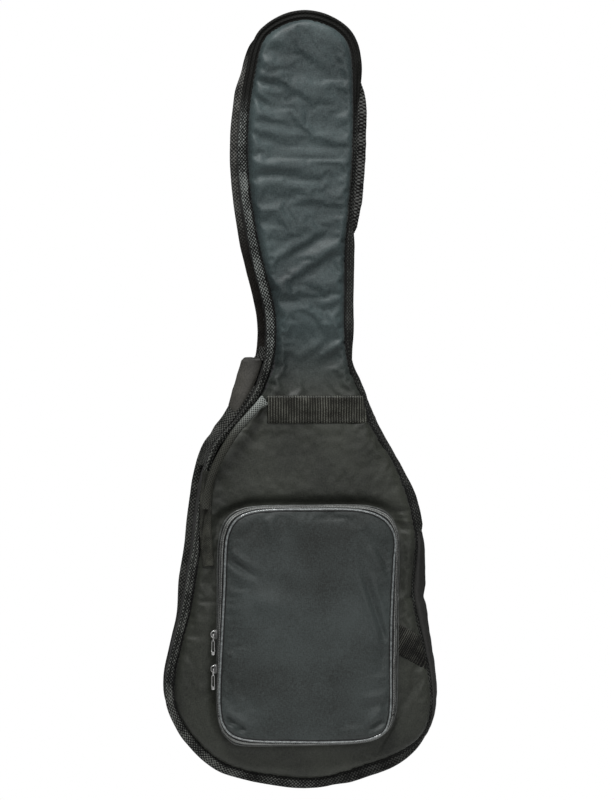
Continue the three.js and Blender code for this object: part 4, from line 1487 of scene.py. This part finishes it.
def add_strap(label, sign):
    down = np.linspace(PAD_START, PAD_END, 90)
    width = np.interp(down, *np.transpose(PAD_WIDTH))
    across, s = circle(36, 0.55)[0], circle(36)[1]
    crown = np.clip(s, 0, 1) ** 0.5 * np.clip((1 - np.abs(across)) / 0.22, 0, 1) ** 0.5
    ends = np.sqrt(np.clip(np.minimum(down - PAD_START, PAD_END - down) / 26, 0.02, 1))
    channel = 1 - 0.18 * np.exp(-(across / 0.08) ** 2)
    soft = 1 + 0.08 * wander(np.stack([down, np.full(90, sign * 40)], axis=1), 24)[:, None]
    rise = 2.4 + 6.2 * crown[None] * ends[:, None] * channel[None] * soft
    y = STRAP_Y + np.where(s[None] > 0, rise, 0.2)
    rings = strap_place(sign, across[None] * width[:, None], down[:, None], y)
    pad = add_loft(f"strap_padded_{label}", rings, SHELL)
    subdivide(pad)
    assign(pad, f"strap_{label}", "strap_cloth", f"strap_pad_{label}")
    keep = (down > 14) & (down < PAD_END - 8)
    rows = (-0.87, keep, 3.4), (0.87, keep, 3.4), (0, slice(12, -12), 8.2)
    for index, (edge, run, off) in enumerate(rows):
        path = strap_place(sign, edge * width[run], down[run], STRAP_Y + off)
        add_stitches(f"strap_stitching_{label}_{index + 1}", path, (0, 1, 0), f"strap_{label}", pitch=4.4)

    tail = np.arange(PAD_END + BUCKLE_LENGTH - 6, STRAP_SPAN - 3, 1.2)[:, None]
    u = np.linspace(-1, 1, 16)[None]
    edge = rounded_edge(u, 8, 0.15)
    off = 1.5 * edge + 0.18 * np.sin(TAU * tail / RIB_PITCH) * edge
    faces = [strap_place(sign, 12.5 * u, tail, STRAP_Y + 0.1 + height) for height in (off, 0)]
    add_webbing(f"strap_webbing_{label}", *faces, f"strap_tail_{label}", f"strap_tail_{label}")
    add_anchor(label, sign)
    dress(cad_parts[f"strap_buckle_{label}"], PLASTIC)


def add_anchor(label, sign):
    """The sewn patch that holds a strap's lower end: a trapezium with a stitched box and cross."""
    ends = STRAP_SPAN + 1, STRAP_SPAN + 26
    down = np.linspace(*ends, 12)[:, None]
    u = np.linspace(-1, 1, 14)[None]
    across = u * np.interp(down, ends, (12.5, 20.5))
    y = BACK_FACE_Y + 0.4
    faces = [strap_place(sign, across, down, y + off) for off in (1.7 * rounded_edge(u, 10, 0.2), 0)]
    add_webbing(f"strap_anchor_patch_{label}", *faces, "back_shell", f"strap_anchor_{label}")
    corners = np.array([(-10, 3), (10, 3), (16, 23), (-16, 23), (-10, 3)])
    box = strap_place(sign, corners[:, 0], STRAP_SPAN + corners[:, 1], y + 1.8)
    for index, path in enumerate((box, evenly(box[[0, 2]], 1.0), evenly(box[[1, 3]], 1.0))):
        add_stitches(f"anchor_stitching_{label}_{index + 1}", path, (0, 1, 0), "back_shell", pitch=3.4)


def add_strap_patch(look):
    low, high = bag_box("strap_patch")
    z = (low[2] + high[2]) / 2
    line = np.array([(low[0], z), (high[0], z)])
    edge = flat_ribbon("strap_top_band", line, high[2] - low[2], look, WEBBING, "strap_patch", side=1)
    for name, path in (("top", edge[:, -2]), ("foot", edge[:, 1]), ("left", edge[3]), ("right", edge[-4])):
        add_stitches(f"strap_band_stitching_{name}", path + (0, 0.1, 0), (0, 1, 0), "back_shell", pitch=3.6)


def add_hang_loop():
    y = bag_box("hang_loop")[0][1]
    line = [(y + 1.2, 991), (y + 1.2, 1002), (50.5, 1017), (54.3, 1034), (51, 1049.5), (y + 1.2, 1055.5)]
    path = np.insert(evenly(curve(line), 1.0), 0, 0, axis=1)[:, None]
    off = np.cross(headings(path[:, 0]), (1, 0, 0))[:, None]
    u = np.linspace(-1, 1, 18)
    edge = rounded_edge(u, 8, 0.15)
    ribs = 0.18 * np.sin(TAU * np.arange(len(path)) / RIB_PITCH)[:, None]
    middle = path + 12.4 * u[None, :, None] * np.array((1, 0, 0))
    outer = middle + off * (0.9 * edge + ribs * edge)[..., None]
    inner = middle - off * (0.9 * edge)[None, :, None]
    add_webbing("hanging_loop_webbing", outer, inner, "back_shell", "hang_loop")
    bar = np.stack([np.linspace(-10, 10, 12), np.full(12, y + 2.4), np.full(12, 996.0)], axis=1)
    add_stitches("hanging_loop_stitching", bar, (0, 1, 0), "back_shell", pitch=2.6)


def dress(obj, material):
    """A CAD node that stays: its material, and softened edges."""
    obj.data.materials.clear()
    obj.data.materials.append(material)
    modifier = obj.modifiers.new("softened", "BEVEL")
    modifier.width = 0.7 * MM
    modifier.segments = 3
    modifier.limit_method = "ANGLE"


# ---------------------------------------------------------------- the scene

LIGHTS = [      # name, place in metres, size in metres, power in watts
    ("key", (-0.75, -1.8, 1.85), 0.7, 73),
    ("overhead", (0.15, -0.75, 2.1), 0.5, 38),
    ("front_fill", (0.7, -3.3, 0.2), 1.2, 33),
    ("back_fill", (0.5, 2.6, -0.1), 1.2, 16),
]


def plain(corners):
    return [list(corner) for corner in corners]


def main():
    add_camera()
    add_world(fill=0.1)
    for light in LIGHTS:
        add_area_light(*light)
    add_floor(floor_material())

    on_front = add_panel("front_panel", -1, FRONT_FOLDS, 1.0)
    on_back = add_panel("back_panel", 1, [], 41.0)
    add_binding("front_binding", -1, BINDING)
    add_binding("back_binding", 1, BACK_BINDING)
    add_gussets()
    add_main_zip()
    add_front_bands(on_front)
    add_handle()
    add_pocket(on_front)
    for facing, place in ((-1, "pocket"), (1, "main")):
        add_slider(f"{place}_upper", facing)
        add_slider(f"{place}_lower", facing)
    add_left_shoulder()
    add_strap("left", -1)
    add_strap("right", 1)
    add_strap_patch(on_back)
    add_hang_loop()


main()
{"cad": plain(cad_box), "visual": plain(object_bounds())}
